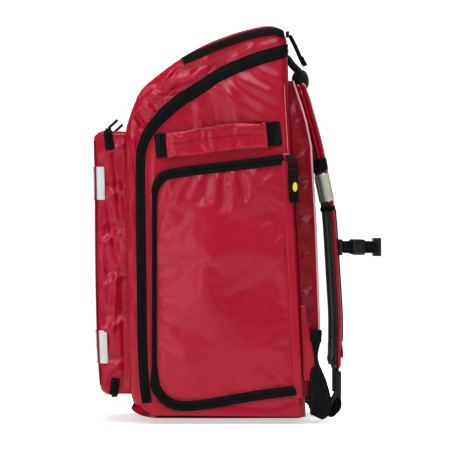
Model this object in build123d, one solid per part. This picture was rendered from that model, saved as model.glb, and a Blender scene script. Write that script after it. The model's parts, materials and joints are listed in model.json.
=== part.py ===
from build123d import *
import os
from math import atan2, cos, degrees, hypot, sin

# Trauma backpack in red tarpaulin: a clamshell bag with a front pocket, a top flap over its own pocket,
# a zipped door on each side, padded handles, and a harness with sternum strap and waist belt.
# Millimetres, +Z up, origin at the middle of the base. The front pocket faces -Y, the wearer is at +Y,
# and the wearer's right is +X. Side outlines are drawn in the Y-Z plane and carried across in X.

# ---- overall size ----
width = 360.0  # across the side walls
height = 597.0  # base to the sharp rear top corner
front_base = -146.0  # Y of the front wall at the base
front_lean = 7.0  # how far the front wall leans out at its top
front_height = 0.7806 * height  # top of the front wall
rear_top = 88.0  # Y of the back wall at the top
rear_base = 119.0  # Y of the back wall at the base
brow_back = 91.0  # how far the bend in the sloping top lies behind the front wall
brow_height = 0.1323 * height  # how far that bend lies above the front wall
wall = 4.0  # lined and padded tarpaulin
edge_radius = 12.0  # soft edges between the side walls and the rest
base_front_radius = 30.0
base_rear_radius = 16.0
front_top_radius = 30.0
brow_radius = 120.0
rear_top_radius = 22.0

# ---- zips ----
zip_gap = 0.6  # between the two halves of a closed zip
main_tape = 7.0  # each half of the main zip's tape
top_tape = 6.0  # each half of the top pocket's tape
door_tape = 5.0  # each half of a side door's tape
pocket_tape = 7.0  # each half of the front pocket's tape
hinge_gap = 0.4  # where one panel folds on another
slider_length = 13.0
slider_width = 9.0
slider_thick = 5.0
lift = 0.4  # a slider's clearance over the wall
pull_reach = 14.0  # an upright pull's lean back, and its rise
pull_rise = 13.0
pull_width = 6.0
pull_thick = 4.0
pull_lean = degrees(atan2(pull_reach, pull_rise))
side_slider_back = 2.0  # behind the door's hinge line
side_pull_width = 15.0
side_pull_length = 62.0
side_pull_thick = 3.0
top_slider_lift = 1.9
top_pull_width = 12.0
top_pull_drop = 50.0
top_pull_lean = 22.0
top_slider_side = 12.0  # beyond the grab handle's arm
main_pull = (2.0, 8.0, 40.0)  # thickness, width and length
main_pull_drop = 18.0
main_slider_back = 55.0  # behind the bend, along the zip

# ---- main zip: where the front cover parts from the body, on each side ----
split_rear_height = 0.9263 * height  # where it meets the back wall
split_brow = (-5.0, 0.8727 * height)
split_bend = (-88.0, 0.7822 * height)
split_front = (-130.0, 0.6449 * height)
split_foot = (-119.5, 21.0)
cover_hinge_height = 17.0

# ---- top flap ----
flap_skirt = 9.0  # how far its sides come down
top_pocket_depth = 24.0
floor_thick = 2.0
tape_stop = 4.0  # a tape stops this far from a fold

# ---- side pockets and their doors ----
door_front = -107.0
door_top_front = 0.6181 * height
door_top_rear = 0.6549 * height
door_bottom_front = 20.0
door_bottom_rear = 41.0
door_rear_margin = 13.0  # hinge line to the back wall
door_tape_stop = 0.6  # its tape stops this far short of the fold
door_top_radius = 24.0
door_bottom_radius = 40.0
pocket_depth = 50.0
liner = 1.5

# ---- front pocket ----
front_pocket_width = width - 60.0
front_pocket_bottom = 36.0
front_pocket_top = 0.7236 * height
front_pocket_depth_bottom = 44.0
front_pocket_depth_top = 48.0
front_pocket_wall = 3.0
slider_stand = 3.0  # a slider parked this far past its zip's end
front_pocket_radius = 14.0
front_pocket_side_radius = 12.0
lid_depth = 27.0  # hinge to zip, at the top
base_flap_depth = 24.0  # hinge to zip, at the bottom
lid_end = 6.0  # the lid and the base flap stop this far short of the rounded corners
band = 50.0  # reflective tape
band_thick = 1.2
band_upper = 0.5511 * height
band_lower = 82.0
band_wrap = 13.0  # how far a band comes round the side

# ---- inside ----
board = 3.0
sheet = 2.0
shelf = 6.0
shelf_heights = (0.3183 * height, 0.5779 * height)
shelf_front_room = 8.0

# ---- handles ----
side_handle_tilt = 15.0  # the rear end is this much higher
side_handle_front = -88.0
side_handle_rear = 57.0
side_handle_height = 38.0
side_handle_low = 0.6549 * height
side_handle_thick = 9.0
side_handle_gap = 6.5  # room for fingers behind the sleeve
tab_front = 19.0
tab_rear = 23.0
handle_rounding = 4.0
handle_room = 1.0  # sleeve to tab, and sleeve to the door zip
grab_width = 92.0
grab_strap = 22.0
grab_pad = 20.0
grab_drop = 38.0
grab_reach = 16.0
grab_root = 0.9162 * height

# ---- harness ----
pad_top = 0.7839 * height
pad_bottom = 30.0
pad_half_width = width / 2 - 20.0
yoke_top = 0.8576 * height
yoke_reach = 9.0
yoke_foot = 3.0  # its thickness where it meets the pad
yoke_gap = 2.0
yoke_margin = 6.0  # beyond the straps at each side
strap_inner = 52.0  # nearest the middle of the back
strap_width = 64.0
strap_foam = 10.0
strap_face = 6.0
sleeve_thick = 1.2
sleeve_low = 0.5394 * height
sleeve_high = 0.66 * height
hang = 0.5
webbing = 25.0
webbing_thick = 2.0
ladder_width = 34.0
ladder_thick = 8.0
ladder_height = 38.0
ladder_tilt_room = 2.5
ladder_edge = 4.0  # above its upper slot
ladder_bar = 3.0  # between the slots
ring_size = 24.0
ring_thick = 5.0
ring_bar = 4.0
sternum_webbing = 18.0
sternum_height = 0.4305 * height
sternum_travel = 30.0  # up or down from there
buckle_width = 28.0
buckle_length = 36.0
buckle_thick = 11.0
buckle_wall = 2.0
buckle_play = 0.4
prong_length = 20.0
prong_thick = 6.0
sternum_bow = 60.0  # how far the buckle stands out from the rings
belt_side = width / 2 - 8.0
belt_thick = 2.5
wing_side = width / 2 - 16.0
wing_thick = 3.0


def side_face(points, radii):
    """A closed face in side view, (Y, Z) points joined by straight runs with an arc of each radius."""
    return make_face(FilletPolyline(*points, radius=radii, close=True).edges())


def across(face, x0, x1):
    """The side-view face carried across from x0 to x1."""
    return extrude(Plane.YZ.offset(x0) * face, amount=x1 - x0, dir=(1, 0, 0))


def box(x0, x1, y0, y1, z0, z1):
    """A plain block between two corners."""
    return Pos((x0 + x1) / 2, (y0 + y1) / 2, (z0 + z1) / 2) * Box(x1 - x0, y1 - y0, z1 - z0)


def mirrored(part):
    """The same piece on the wearer's left."""
    return mirror(part, about=Plane.YZ)


def save(name, part):
    """Write one node as a STEP file."""
    solids = part.solids() if not isinstance(part, list) else [s for p in part for s in p.solids()]
    body = solids[0] if len(solids) == 1 else Compound(children=list(solids))
    export_step(body, os.path.join("parts", name + ".step"))


def rear_y(z):
    """Y of the back wall's outer face at a height."""
    return rear_base + (rear_top - rear_base) * z / height


def front_y(z):
    """Y of the front wall's outer face at a height."""
    return front_base - front_lean * z / front_height


def rear_of(shift, low=-200.0, high=900.0):
    """Side-view region behind the back wall's line moved by shift."""
    far = 600.0
    points = [(rear_y(low) + shift, low), (far, low), (far, high), (rear_y(high) + shift, high)]
    return make_face(Polyline(*points, close=True).edges())


def ahead_of(shift):
    """Side-view region in front of the back wall's line moved by shift."""
    far, low, high = -600.0, -200.0, 900.0
    points = [(rear_y(low) + shift, low), (far, low), (far, high), (rear_y(high) + shift, high)]
    return make_face(Polyline(*points, close=True).edges())


# ================= the whole bag's outline, as one closed shell =================
front_top = (front_y(front_height), front_height)
brow = (front_top[0] + brow_back, front_height + brow_height)
outline = side_face(
    [(front_base, 0), front_top, brow, (rear_top, height), (rear_base, 0)],
    [base_front_radius, front_top_radius, brow_radius, rear_top_radius, base_rear_radius],
)
inner_outline = offset(outline, -wall)


def soft_block(face, half, radius):
    """The face carried across to both sides, with its side edges rounded."""
    block = across(face, -half, half)
    rims = [e for e in block.edges() if abs(abs(e.center().X) - half) < 0.01]
    return fillet(rims, radius)


bag_outer = soft_block(outline, width / 2, edge_radius)
bag_inner = soft_block(inner_outline, width / 2 - wall, edge_radius - wall)
shell = bag_outer - bag_inner

# ---- the cover's region in side view, in front of and above the main zip ----
rear_rise = (split_rear_height - split_brow[1]) / (rear_y(split_rear_height) - split_brow[0])
beyond = 60.0
split_rear = (rear_y(split_rear_height) + beyond, split_rear_height + beyond * rear_rise)
hinge_y = front_base + base_front_radius - (
    base_front_radius**2 - (base_front_radius - cover_hinge_height) ** 2
) ** 0.5
hinge_run = (split_foot[1] - cover_hinge_height) / (split_foot[0] - hinge_y)
split_out = (hinge_y - beyond, cover_hinge_height - beyond * hinge_run)
cover_face = side_face(
    [split_rear, split_brow, split_bend, split_front, split_foot, split_out,
     (split_out[0] - beyond, height + beyond), (split_rear[0], height + beyond)],
    [0, 200, 90, 90, 0, 0, 0, 0],
)
body_cut = offset(cover_face, zip_gap)
tape_low = split_foot[1] + main_tape + tape_stop / 2
above_foot = Pos(0, tape_low + height) * Rectangle(4 * height, 2 * height)
cover_band = (cover_face - offset(cover_face, -main_tape)) & above_foot
body_band = (offset(cover_face, zip_gap + main_tape) - body_cut) & above_foot

# ---- the top flap's region, above the top pocket's zip ----
slope = atan2(height - brow[1], rear_top - brow[0])
front_slope = atan2(brow_height, brow_back)
lean = (slope + front_slope) / 2
sink = brow_radius / cos((front_slope - slope) / 2) - brow_radius
flap_hinge = (brow[0] + sink * sin(lean), brow[1] - sink * cos(lean))
drop = (flap_hinge[0] + flap_skirt * sin(lean), flap_hinge[1] - flap_skirt * cos(lean))
rise = 40.0
reach = rear_top - brow[0] + beyond
flap_face = side_face(
    [drop, (drop[0] + reach * cos(slope), drop[1] + reach * sin(slope)),
     (drop[0] + reach * cos(slope), drop[1] + reach * sin(slope) + beyond),
     (flap_hinge[0] - rise * sin(lean), flap_hinge[1] + rise * cos(lean))],
    [0, 0, 0, 0],
)
rim_cut = offset(flap_face, hinge_gap)
behind_hinge = Pos(flap_hinge[0] + top_tape + tape_stop + height, height) * Rectangle(2 * height, 2 * height)
flap_band = (flap_face - offset(flap_face, -top_tape)) & behind_hinge
rim_band = (offset(flap_face, hinge_gap + top_tape) - rim_cut) & behind_hinge

# ---- side door ----
door_rear_top = rear_y(door_top_rear) - door_rear_margin
door_rear_bottom = rear_y(door_bottom_rear) - door_rear_margin
door_face = side_face(
    [(door_front, door_top_front), (door_rear_top, door_top_rear),
     (door_rear_bottom, door_bottom_rear), (door_front, door_bottom_front)],
    [door_top_radius, 0, 0, door_bottom_radius],
)
door_band = (door_face - offset(door_face, -door_tape)) & ahead_of(
    -door_rear_margin - door_tape - door_tape_stop)
frame_outer = offset(door_face, zip_gap + door_tape, kind=Kind.INTERSECTION)
frame_inner = offset(door_face, hinge_gap, kind=Kind.INTERSECTION)
frame_band = (frame_outer - frame_inner) & ahead_of(-door_rear_margin)
window = frame_inner + frame_band
liner_outer = offset(frame_outer, liner, kind=Kind.INTERSECTION)
side_face_x = width / 2

# ---- where the pulls hang and the handles are rooted ----
side_pull_at = (door_rear_top + side_slider_back + slider_length - slider_width / 4,
                door_top_rear - slider_width / 2)
top_slider_at = (rear_top + top_slider_lift,
                 drop[1] + (rear_y(height) - drop[0]) * sin(slope) / cos(slope) - slider_width / 3)
grab_root_y = rear_y(grab_root) + webbing_thick + hang


def body_pieces():
    """The red body behind the main zip, its zip half, the frames of the side doors and the pocket liners."""
    body_wall = shell - across(body_cut, -width, width)
    body_tape = body_wall & across(body_band, -width, width)
    body_wall -= across(body_band, -width, width)
    inside = side_face_x - 2 * wall
    frames = []
    liners = []
    for x0, x1 in ((inside, width), (-width, -inside)):
        frames.append(body_wall & across(frame_band, x0, x1))
        body_wall -= across(window, x0, x1)
    deep = side_face_x - wall - pocket_depth
    tray = across(liner_outer, deep, side_face_x - wall)
    tray -= across(frame_outer, deep + liner, side_face_x)
    tray &= bag_inner
    liners = [tray, mirrored(tray)]
    save("body_shell", body_wall)
    save("main_zip_body_half", body_tape)
    save("side_zip_frames", frames)
    save("side_pocket_liners", liners)


def inside_pieces():
    """Base board, frame sheet behind the back wall, and two shelves between the side pockets."""
    room = side_face_x - wall - pocket_depth
    floor = Pos(0, wall + board / 2) * Rectangle(2 * height, board)
    save("base_board", (bag_inner & across(floor, -width, width)) - across(body_cut, -width, width))
    sheet_low = wall + board
    sheet_high = split_rear_height - main_tape - 2 * wall
    back = rear_of(-wall - sheet, sheet_low, sheet_high) & ahead_of(-wall)
    save("frame_sheet", across(back, -room, room) & bag_inner)
    shelf_front = split_front[0] + shelf_front_room + main_tape
    shelves = []
    for z in shelf_heights:
        rear = rear_y(z) - wall - sheet
        plate = Pos((shelf_front + rear) / 2, z) * Rectangle(rear - shelf_front + shelf, shelf)
        shelves.append(across(plate & ahead_of(-wall - sheet), -room, room))
    save("inner_shelves", shelves)


def side_doors():
    """Each side door's panel and its half of the zip, in the plane of the side wall."""
    tape = across(door_band, side_face_x - wall, side_face_x)
    panel = across(door_face, side_face_x - wall, side_face_x) - tape
    save("side_door_right", panel)
    save("side_door_left", mirrored(panel))
    save("side_door_zip_right", tape)
    save("side_door_zip_left", mirrored(tape))


def cover_pieces():
    """The clamshell cover, its zip half, the top pocket's rim and floor."""
    cover = shell & across(cover_face, -width, width)
    cover_tape = cover & across(cover_band, -width, width)
    cover -= across(cover_band, -width, width)
    rim = cover & across(rim_band, -width, width)
    cover -= across(rim_band, -width, width)
    flap = cover & across(flap_face, -width, width)
    flap_tape = flap & across(flap_band, -width, width)
    flap -= across(flap_band, -width, width)
    cover -= across(rim_cut, -width, width)
    low = flap_skirt + top_pocket_depth + wall
    line = [(flap_hinge[0] - height * cos(slope), flap_hinge[1] - height * sin(slope)),
            (flap_hinge[0] + height * cos(slope), flap_hinge[1] + height * sin(slope))]
    down = (sin(slope), -cos(slope))
    floor = make_face(Polyline(
        (line[0][0] + low * down[0], line[0][1] + low * down[1]),
        (line[1][0] + low * down[0], line[1][1] + low * down[1]),
        (line[1][0] + (low + floor_thick) * down[0], line[1][1] + (low + floor_thick) * down[1]),
        (line[0][0] + (low + floor_thick) * down[0], line[0][1] + (low + floor_thick) * down[1]),
        close=True,
    ).edges())
    save("cover_shell", cover)
    save("main_zip_cover_half", cover_tape)
    save("top_pocket_zip_rim", rim)
    save("top_pocket_floor", bag_inner & across(floor, -width, width))
    save("top_flap", flap)
    save("top_flap_zip", flap_tape)


def front_pocket():
    """The box pocket on the cover, with a lid at the top, a flap at the bottom and two reflective bands."""
    half = front_pocket_width / 2
    top_front = front_y(front_pocket_top) - front_pocket_depth_top
    bottom_front = front_y(front_pocket_bottom) - front_pocket_depth_bottom
    profile = [(front_y(front_pocket_bottom), front_pocket_bottom),
               (front_y(front_pocket_top), front_pocket_top),
               (top_front, front_pocket_top), (bottom_front, front_pocket_bottom)]
    radii = [0, 0, front_pocket_radius, front_pocket_radius]

    def pocket_block(grow, rounding):
        face = offset(side_face(profile, radii), grow, kind=Kind.INTERSECTION)
        block = across(face, -half - grow, half + grow)
        rims = [e for e in block.edges()
                if abs(abs(e.center().X) - half - grow) < 0.01 and e.center().Y < front_y(0) - band_wrap]
        return fillet(rims, rounding)

    cover_line = across(side_face(
        [(front_y(0), 0), (front_y(height), height), (beyond, height), (beyond, 0)],
        [0, 0, 0, 0]), -width, width)
    outer = pocket_block(0, front_pocket_side_radius)
    inner = pocket_block(-front_pocket_wall, front_pocket_side_radius - front_pocket_wall)
    throat = across(side_face(
        [(front_y(front_pocket_bottom) - 2 * front_pocket_wall, front_pocket_bottom + front_pocket_wall),
         (front_y(front_pocket_top) - 2 * front_pocket_wall, front_pocket_top - front_pocket_wall),
         (front_y(front_pocket_top) + beyond, front_pocket_top - front_pocket_wall),
         (front_y(front_pocket_bottom) + beyond, front_pocket_bottom + front_pocket_wall)], [0, 0, 0, 0]),
        -half + front_pocket_wall, half - front_pocket_wall)
    pocket = outer - inner - throat
    lid_zip = front_y(front_pocket_top) - lid_depth
    base_zip = front_y(front_pocket_bottom) - base_flap_depth
    top0, top1 = front_pocket_top - front_pocket_wall, front_pocket_top + 1
    low0, low1 = front_pocket_bottom - 1, front_pocket_bottom + front_pocket_wall
    lid_half = half - 2 * front_pocket_radius - lid_end
    lid_rear = front_y(front_pocket_top) - hinge_gap
    base_rear = front_y(front_pocket_bottom) - hinge_gap
    pocket -= box(-lid_half, lid_half, lid_zip - zip_gap, beyond, top0, top1)
    pocket -= box(-lid_half, lid_half, base_zip - zip_gap, beyond, low0, low1)
    fixed = []
    for y, z0, z1 in ((lid_zip, top0, top1), (base_zip, low0, low1)):
        strip = box(-lid_half, lid_half, y - zip_gap - pocket_tape, y - zip_gap, z0, z1)
        fixed.append(pocket & strip)
        pocket -= strip
    room = zip_gap / 2
    lid = box(-lid_half + room, lid_half - room, lid_zip, lid_rear, top0 + room, front_pocket_top)
    lid_tape = lid & box(-half, half, lid_zip, lid_zip + pocket_tape, top0, top1)
    flap = box(-lid_half + room, lid_half - room, base_zip, base_rear, front_pocket_bottom, low1 - room)
    flap_tape = flap & box(-half, half, base_zip, base_zip + pocket_tape, low0, low1)
    save("front_pocket_shell", pocket - cover_line)
    save("front_pocket_zip_rims", fixed)
    save("front_pocket_lid", lid - lid_tape)
    save("front_pocket_lid_zip", lid_tape)
    save("front_pocket_base_flap", flap - flap_tape)
    save("front_pocket_base_zip", flap_tape)
    around = pocket_block(band_thick, front_pocket_side_radius + band_thick) - outer
    bands = []
    for z in (band_upper, band_lower):
        wrap_rear = front_y(z) - front_pocket_depth_top + band_wrap
        bands.append(around & box(-width, width, -width, wrap_rear, z, z + band))
    save("front_reflective_bands", bands)
    slider_z = front_pocket_top + lift
    for name, side in (("right", 1), ("left", -1)):
        x = side * (lid_half + slider_stand + slider_length / 2)
        save("front_pocket_slider_" + name, upright_slider(x, lid_zip - zip_gap / 2, slider_z))
    under = front_pocket_bottom - lift - slider_thick
    parked = lid_half + slider_stand
    low_slider = box(parked, parked + slider_length, base_zip - slider_width / 2, base_zip + slider_width / 2,
                     under, under + slider_thick)
    save("front_pocket_base_slider", low_slider)


def upright_slider(x, y, z):
    """A slider lying on a level zip that runs in X, with a short cord pull standing up off it."""
    base = box(x - slider_length / 2, x + slider_length / 2, y - slider_width / 2, y + slider_width / 2,
               z, z + slider_thick)
    pull = Pos(x, y + pull_reach / 2, z + slider_thick + pull_rise / 2) * Rot(-pull_lean, 0, 0) * Box(
        pull_width, pull_thick, hypot(pull_reach, pull_rise))
    return base + (pull & box(-width, width, -width, width, z + slider_thick / 2, height))


def side_sliders():
    """A slider and a webbing pull at the rear end of each side door's top zip."""
    top = door_top_rear + (zip_gap / 2)
    y0 = door_rear_top + side_slider_back
    x0 = side_face_x + lift
    x1 = x0 + slider_thick
    slider = box(x0, x1, y0, y0 + slider_length, top - slider_width / 2, top + slider_width / 2)
    half = side_pull_width / 2
    pull = box(x1 + lift, x1 + lift + side_pull_thick, side_pull_at[0] - half, side_pull_at[0] + half,
               side_pull_at[1] - side_pull_length, side_pull_at[1])
    save("side_zip_slider_right", slider)
    save("side_zip_slider_left", mirrored(slider))
    save("side_zip_pull_right", pull)
    save("side_zip_pull_left", mirrored(pull))


def top_slider():
    """The top pocket's slider on the back wall's top, right of the grab handle, with its webbing pull."""
    x = grab_width / 2 + grab_strap + top_slider_side
    y, z = top_slider_at
    half = slider_width / 2
    slider = box(x - slider_length / 2, x + slider_length / 2, y, y + slider_thick, z - half, z + half)
    start = y + slider_thick + lift
    path = make_face(Polyline(
        (start, z), (start + webbing_thick, z), (start + webbing_thick + top_pull_lean, z - top_pull_drop),
        (start + top_pull_lean, z - top_pull_drop), close=True).edges())
    save("top_zip_slider", slider)
    save("top_zip_pull", across(path, x - top_pull_width / 2, x + top_pull_width / 2))


def main_sliders():
    """The main zip's two sliders, meeting high on the left side."""
    along = atan2(split_rear_height - split_brow[1], rear_y(split_rear_height) - split_brow[0])
    mid = (split_brow[0] + main_slider_back * cos(along), split_brow[1] + main_slider_back * sin(along))
    apart = slider_length / 2 + 2 * lift
    for name, shift in (("rear", apart), ("front", -apart)):
        at = (mid[0] + shift * cos(along), mid[1] + shift * sin(along))
        block = Pos(-side_face_x - lift - slider_thick / 2, at[0], at[1]) * Rot(degrees(along), 0, 0) * Box(
            slider_thick, slider_length, slider_width)
        pull_x = -side_face_x - lift - slider_thick - main_pull[0] / 2
        pull = Pos(pull_x, at[0], at[1] - main_pull_drop) * Box(*main_pull)
        save("main_zip_slider_" + name, block + pull)


def side_handles():
    """Padded sleeves standing a finger's gap off the side walls, and the webbing tabs that hold them."""
    def strip(y0, y1, low, high):
        def tilt(y):
            return side_handle_tilt * (y - side_handle_front) / (side_handle_rear - side_handle_front)
        return side_face([(y0, low + tilt(y0)), (y1, low + tilt(y1)), (y1, high + tilt(y1)),
                          (y0, high + tilt(y0))], [0, 0, 0, 0])
    low = side_handle_low + handle_room
    high = low + side_handle_height
    x0 = side_face_x + side_handle_gap
    tabs = []
    for y0, y1 in ((side_handle_front - tab_front, side_handle_front - handle_room),
                   (side_handle_rear + handle_room, side_handle_rear + tab_rear)):
        tab = across(strip(y0, y1, low, high), side_face_x, x0 + side_handle_thick / 2)
        tabs += [tab, mirrored(tab)]
    sleeve = across(strip(side_handle_front, side_handle_rear, low, high), x0, x0 + side_handle_thick)
    sleeve = fillet(sleeve.edges().filter_by(GeomType.LINE).group_by(SortBy.LENGTH)[-1], handle_rounding)
    save("side_handle_tabs", tabs)
    save("side_handle_right", sleeve)
    save("side_handle_left", mirrored(sleeve))


def grab_handle():
    """A loop of webbing from the top of the back wall with a padded bar across its end."""
    bar = (grab_root_y + grab_reach, grab_root - grab_drop)
    run = hypot(grab_reach, grab_drop)
    nx, nz = grab_drop / run * webbing_thick, grab_reach / run * webbing_thick
    arm_face = make_face(Polyline(
        (grab_root_y, grab_root), (grab_root_y + nx, grab_root + nz), (bar[0] + nx, bar[1] + nz), bar,
        close=True).edges())
    edge = grab_width / 2
    arms = across(arm_face, edge - grab_strap, edge) + across(arm_face, -edge, grab_strap - edge)
    pad_long, pad_deep = 1.2 * grab_pad, 0.8 * grab_pad
    pad_at = (bar[0] + pad_deep / 3, bar[1] + pad_deep / 3)
    pad_face = Pos(*pad_at) * Rot(0, 0, -degrees(atan2(grab_drop, grab_reach))) * RectangleRounded(
        pad_long, pad_deep, 0.35 * pad_deep)
    save("grab_handle", arms + across(pad_face, -edge, edge))


# the back pad's outer face as (share of the height, distance off the back wall)
pad_profile = [(0.737, 12.0), (0.67, 16.0), (0.4858, 20.0), (0.2312, 19.0)]
pad_rounding = [20, 60, 100, 60]
pad_lip = 3.0  # its thickness at the top edge
pad_foot = 8.0  # and at the bottom
wing_top = 168.0
wing_bottom = 56.0
wing_profile = [(168.0, 2.0), (90.0, 16.0), (60.0, 15.0)]  # height, distance off the back wall


def back_panel():
    """Back pad, yoke, lower anchor wings."""
    outer = [(rear_y(share * height) + off, share * height) for share, off in pad_profile]
    pad_face = side_face(
        [(rear_y(pad_bottom), pad_bottom), (rear_y(pad_top), pad_top), (rear_y(pad_top) + pad_lip, pad_top),
         *outer, (rear_y(pad_bottom) + pad_foot, pad_bottom)],
        [0, 0, 0, *pad_rounding, 0],
    )
    pad = across(pad_face, -pad_half_width, pad_half_width)
    save("back_pad", pad)
    yoke_low = pad_top + yoke_gap
    yoke_face = side_face(
        [(rear_y(yoke_low), yoke_low), (rear_y(yoke_top), yoke_top),
         (rear_y(yoke_top) + yoke_reach, yoke_top), (rear_y(yoke_low) + yoke_foot, yoke_low)], [0, 0, 0, 0])
    yoke_half = strap_inner + strap_width + yoke_margin
    yoke = across(yoke_face, -yoke_half, yoke_half)
    save("strap_yoke", yoke)
    wing_outer = [(rear_y(z) + off, z) for z, off in wing_profile]
    wing_face = side_face([(rear_y(wing_bottom), wing_bottom), (rear_y(wing_top), wing_top), *wing_outer],
                          [0, 0, 0, 6, 4])
    wing = across(wing_face, wing_side, wing_side + wing_thick)
    save("anchor_wings", [wing, mirrored(wing)])


strap_top = 0.8425 * height
# the strap's inner face as (share of the height, distance off the back wall)
strap_profile = [(0.7621, 21.6), (0.68, 32.1), (0.5997, 38.6), (0.5276, 44.4), (0.4188, 46.0), (0.34, 46.5),
                 (0.2496, 46.7), (0.1173, 41.6)]
strap_line = [(rear_y(strap_top) + yoke_reach + hang, strap_top)]
strap_line += [(rear_y(share * height) + off, share * height) for share, off in strap_profile]
strap_radii = [0, 150, 200, 300, 300, 300, 300, 200, 0]


def shifted(points, amount):
    """The strap's line moved outwards, square to each run."""
    moved = []
    for i, (y, z) in enumerate(points):
        a = points[max(i - 1, 0)]
        b = points[min(i + 1, len(points) - 1)]
        run = hypot(b[0] - a[0], b[1] - a[1])
        moved.append((y + amount * (a[1] - b[1]) / run, z + amount * (b[0] - a[0]) / run))
    return moved


def strap_layer(inner, outer):
    """Side-view face of one layer of the shoulder strap between two distances from its inner line."""
    a = shifted(strap_line, inner)
    b = shifted(strap_line, outer)
    return side_face(a + b[::-1], strap_radii + strap_radii[::-1])


def strap_at(z):
    """Y of the shoulder strap's inner line at a height."""
    for a, b in zip(strap_line, strap_line[1:]):
        if b[1] <= z <= a[1]:
            return a[0] + (b[0] - a[0]) * (a[1] - z) / (a[1] - b[1])
    return strap_line[-1][0]


def shoulder_straps():
    """Foam, red face and reflective sleeve of each strap, with the ladder lock at its lower end."""
    x0, x1 = strap_inner, strap_inner + strap_width
    foam = across(strap_layer(0, strap_foam), x0, x1)
    face = across(strap_layer(strap_foam, strap_foam + strap_face), x0, x1)
    around = Pos(0, (sleeve_low + sleeve_high) / 2) * Rectangle(2 * height, sleeve_high - sleeve_low)
    total = strap_foam + strap_face
    sleeve = across(strap_layer(total, total + sleeve_thick) & around, x0, x1)
    mid = (x0 + x1) / 2
    low = strap_line[-1]
    lock_y = low[0] + strap_foam + strap_face / 2
    lock_top = low[1] - ladder_tilt_room
    lock = box(mid - ladder_width / 2, mid + ladder_width / 2, lock_y - ladder_thick / 2,
               lock_y + ladder_thick / 2, lock_top - ladder_height, lock_top)
    bars = ladder_height / 3
    for k in (0, 1):
        slot_top = lock_top - ladder_edge - k * (bars - 1 + ladder_bar)
        lock -= box(mid - webbing / 2 - 1, mid + webbing / 2 + 1, lock_y - ladder_thick,
                    lock_y + ladder_thick, slot_top - bars + 1, slot_top)
    for name, turn in (("right", lambda p: p), ("left", mirrored)):
        save("shoulder_foam_" + name, turn(foam))
        save("shoulder_face_" + name, turn(face))
        save("shoulder_reflective_" + name, turn(sleeve))
        save("ladder_lock_" + name, turn(lock))


# the lower webbing's slack: where it turns up off the floor, and where it is sewn to the back wall
slack_low = (20.0, 0.5)  # distance in from the ladder lock, and height
slack_rise = (38.0, 9.0)
slack_bend = (2.0, 12.0)
anchor_height = 24.0


def lower_webbing():
    """The webbing from each ladder lock, down to the floor and back up to the bag's lower rear edge."""
    low = strap_line[-1]
    mid = strap_inner + strap_width / 2
    y = low[0] + strap_foam + strap_face / 2
    end_z = low[1] - ladder_height - 2 * ladder_tilt_room
    t = webbing_thick
    run = [(y - t / 2, end_z), (y - t / 2 - slack_bend[0], slack_bend[1]), (y - slack_low[0], slack_low[1]),
           (y - slack_rise[0], slack_rise[1]), (rear_y(anchor_height), anchor_height)]
    back = [(rear_y(anchor_height + t), anchor_height + t), (y - slack_rise[0] + t / 2, slack_rise[1] + t),
            (y - slack_low[0], slack_low[1] + t), (y - slack_bend[0] - 1.5 * t, slack_bend[1] + t),
            (y - 1.5 * t, end_z)]
    face = side_face(run + back, [0, 10, 10, 20, 0, 0, 18, 8, 8, 0])
    strip = across(face, mid - webbing / 2, mid + webbing / 2)
    save("lower_strap_webbing", [strip, mirrored(strip)])


def sternum_strap():
    """Rings that slide on the straps, bowed webbing halves, and the buckle's socket and plug."""
    mid = strap_inner + strap_width / 2
    total = strap_foam + strap_face
    y0 = strap_at(sternum_height - sternum_travel - ring_size / 2) + total + 2 * hang
    half = ring_size / 2
    hole = half - ring_bar
    ring = box(mid - half, mid + half, y0, y0 + ring_thick, sternum_height - half, sternum_height + half)
    ring -= box(mid - hole, mid + hole, y0 - ring_thick, y0 + 2 * ring_thick,
                sternum_height - hole, sternum_height + hole)
    reach_y = y0 + sternum_bow
    low, high = sternum_height - sternum_webbing / 2, sternum_height + sternum_webbing / 2
    t = webbing_thick
    end_x = buckle_length + 1
    y1 = y0 + ring_thick + hang
    turn_x = mid - hole
    tail_x = end_x + ring_bar
    strip_face = make_face((
        Polyline((mid, y1), (mid, y1 + t), (turn_x, y1 + t))
        + Spline((turn_x, y1 + t), (tail_x, reach_y + t), tangents=[(-0.4, 1), (-1, 0)])
        + Polyline((tail_x, reach_y + t), (end_x, reach_y + t), (end_x, reach_y), (tail_x, reach_y))
        + Spline((tail_x, reach_y), (turn_x - t, y1), tangents=[(1, 0), (0.4, -1)])
        + Line((turn_x - t, y1), (mid, y1))).edges())
    strip = extrude(Plane.XY.offset(low) * strip_face, amount=high - low, dir=(0, 0, 1))
    for name, turn in (("right", lambda p: p), ("left", mirrored)):
        save("sternum_ring_" + name, turn(ring))
        save("sternum_webbing_" + name, turn(strip))
    depth0, depth1 = reach_y - buckle_thick / 2 + t / 2, reach_y + buckle_thick / 2 + t / 2
    z0, z1 = sternum_height - buckle_width / 2, sternum_height + buckle_width / 2
    socket = box(0, end_x, depth0, depth1, z0, z1)
    socket -= box(-1, prong_length + buckle_wall, depth0 + buckle_wall, depth1 - buckle_wall,
                  z0 + buckle_wall, z1 - buckle_wall)
    gap = buckle_wall + buckle_play
    plug = box(-end_x, -hang, depth0, depth1, z0, z1)
    for z in (z0 + gap, z1 - gap - prong_thick):
        plug += box(-end_x / 2, prong_length, depth0 + gap, depth1 - gap, z, z + prong_thick)
    save("sternum_buckle_socket", socket)
    save("sternum_buckle_plug", plug)


belt_off = 2.0  # behind the back wall's foot
# the hanging webbing's outline as (distance from its root, height)
belt_outline = [(0, 22), (18, 1), (33, 2), (34, 22), (27, 60), (18, 92), (22, 112), (20, 136), (5, 134),
                (7, 112), (6, 88), (0, 60)]
belt_radii = [6, 8, 6, 40, 40, 30, 20, 4, 4, 20, 30, 20]


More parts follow.
